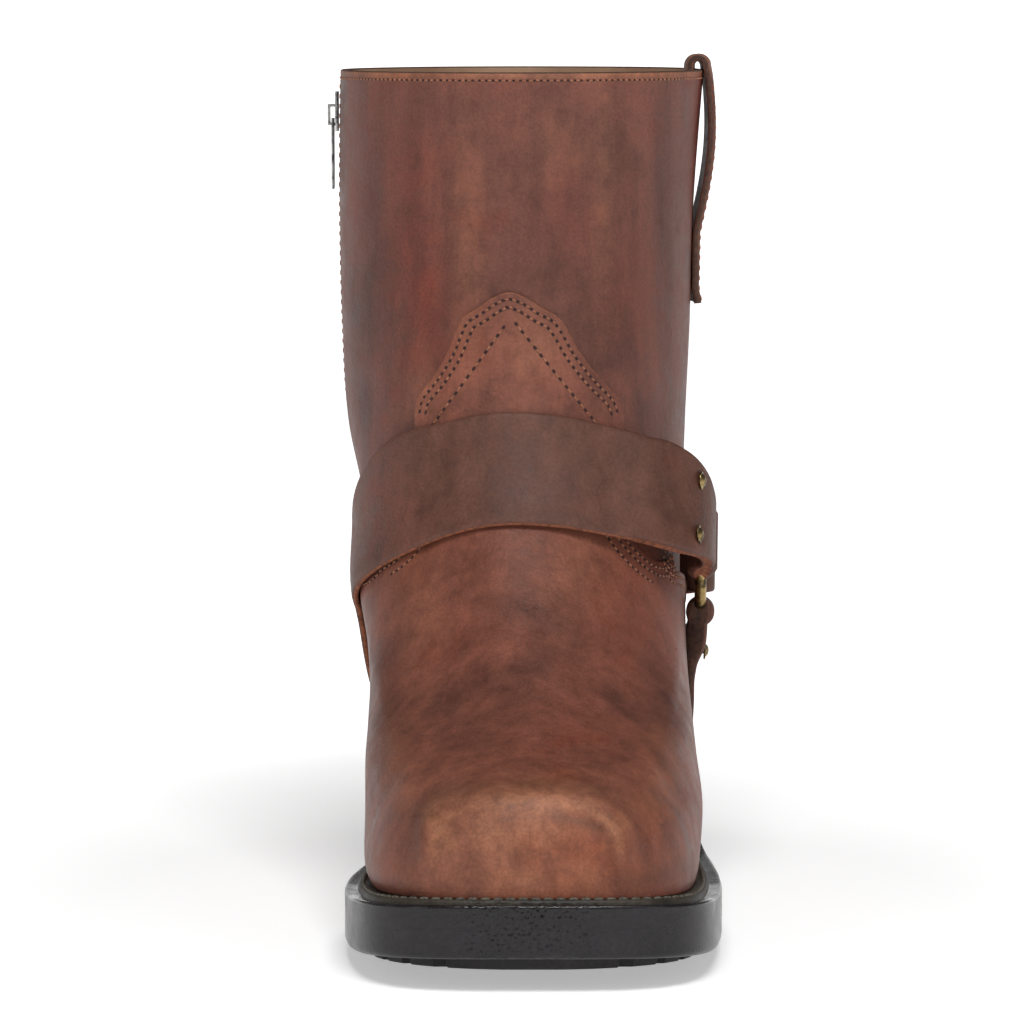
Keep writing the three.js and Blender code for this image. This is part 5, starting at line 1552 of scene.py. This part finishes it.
# Add-on
class BootLooks(bpy.types.PropertyGroup):
    """Sizes and colours that a user may change."""

    leather: bpy.props.FloatVectorProperty(
        name="Leather", description="Dye of the shaft", subtype="COLOR", size=3, min=0, max=1, default=hex_colour("#683e33")[:3])
    strap: bpy.props.FloatVectorProperty(
        name="Strap", description="Dye of the straps", subtype="COLOR", size=3, min=0, max=1, default=hex_colour("#5c3b30")[:3])
    rubber: bpy.props.FloatVectorProperty(
        name="Rubber", description="Colour of the sole", subtype="COLOR", size=3, min=0, max=1, default=hex_colour("#171416")[:3])
    stitch_pitch: bpy.props.FloatProperty(
        name="Stitch pitch", description="Distance from one needle hole to the next", unit="LENGTH", default=3.0 * MM, min=0.001)
    key_power: bpy.props.FloatProperty(name="Top light", description="Power of the light above", unit="POWER", default=13.5)
    fill_power: bpy.props.FloatProperty(name="Side lights", description="Power of each side light", unit="POWER", default=2.0)
    surround: bpy.props.FloatProperty(name="Surround", description="Strength of the white studio", default=0.12, min=0)


class BOOT_OT_stage(bpy.types.Operator):
    """Sets up the sweep, the lights and the camera"""

    bl_idname = "boot.stage"
    bl_label = "Stage and camera"

    def execute(self, context):
        make_stage()
        return {"FINISHED"}


class BOOT_OT_upper(bpy.types.Operator):
    """Makes the shaft and lasted foot, with its lining and stitches"""

    bl_idname = "boot.upper"
    bl_label = "Upper"

    def execute(self, context):
        make_upper()
        return {"FINISHED"}


class BOOT_OT_overlays(bpy.types.Operator):
    """Makes the vamp and the heel counter, with their stitch rows"""

    bl_idname = "boot.overlays"
    bl_label = "Vamp and counter"

    def execute(self, context):
        make_vamp()
        make_heel_counter()
        return {"FINISHED"}


class BOOT_OT_harness(bpy.types.Operator):
    """Makes the harness straps, the ring and the studs"""

    bl_idname = "boot.harness"
    bl_label = "Harness"

    def execute(self, context):
        make_harness_strap()
        make_sole_strap()
        make_ring()
        make_studs()
        return {"FINISHED"}


class BOOT_OT_pull(bpy.types.Operator):
    """Makes the pull strap over the collar"""

    bl_idname = "boot.pull"
    bl_label = "Pull strap"

    def execute(self, context):
        make_pull_strap()
        return {"FINISHED"}


class BOOT_OT_zip(bpy.types.Operator):
    """Makes the zip's tape, teeth, slider and pull tab"""

    bl_idname = "boot.zip"
    bl_label = "Zip"

    def execute(self, context):
        make_zip()
        dress_metal_node("zip_slider", BOOT)
        dress_metal_node("zip_pull", TAB)
        return {"FINISHED"}


class BOOT_OT_sole(bpy.types.Operator):
    """Makes the welt, midsole, outsole with its lugs, heel and insole"""

    bl_idname = "boot.sole"
    bl_label = "Sole unit"

    def execute(self, context):
        make_welt()
        make_midsole()
        make_outsole()
        make_heel()
        make_insole()
        return {"FINISHED"}


class BOOT_PT_panel(bpy.types.Panel):
    """Lists the boot's pieces and looks"""

    bl_idname = "BOOT_PT_panel"
    bl_label = "Harness Boot"
    bl_space_type = "VIEW_3D"
    bl_region_type = "UI"
    bl_category = "Harness Boot"

    def draw(self, context):
        looks = context.scene.boot_looks
        for name in ("leather", "strap", "rubber", "stitch_pitch", "key_power", "fill_power", "surround"):
            self.layout.prop(looks, name)
        for operator in OPERATORS:
            self.layout.operator(operator.bl_idname)


OPERATORS = (BOOT_OT_stage, BOOT_OT_upper, BOOT_OT_overlays, BOOT_OT_harness, BOOT_OT_pull, BOOT_OT_zip, BOOT_OT_sole)
CLASSES = (BootLooks, *OPERATORS, BOOT_PT_panel)


def register():
    for item in CLASSES:
        bpy.utils.register_class(item)
    bpy.types.Scene.boot_looks = bpy.props.PointerProperty(type=BootLooks)


def unregister():
    del bpy.types.Scene.boot_looks
    for item in reversed(CLASSES):
        bpy.utils.unregister_class(item)


def write_sizes():
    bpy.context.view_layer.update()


def main():
    register()
    bpy.ops.boot.stage()
    bpy.ops.boot.upper()
    bpy.ops.boot.overlays()
    bpy.ops.boot.harness()
    bpy.ops.boot.pull()
    bpy.ops.boot.zip()
    bpy.ops.boot.sole()
    write_sizes()


if __name__ == "__main__":
    main()
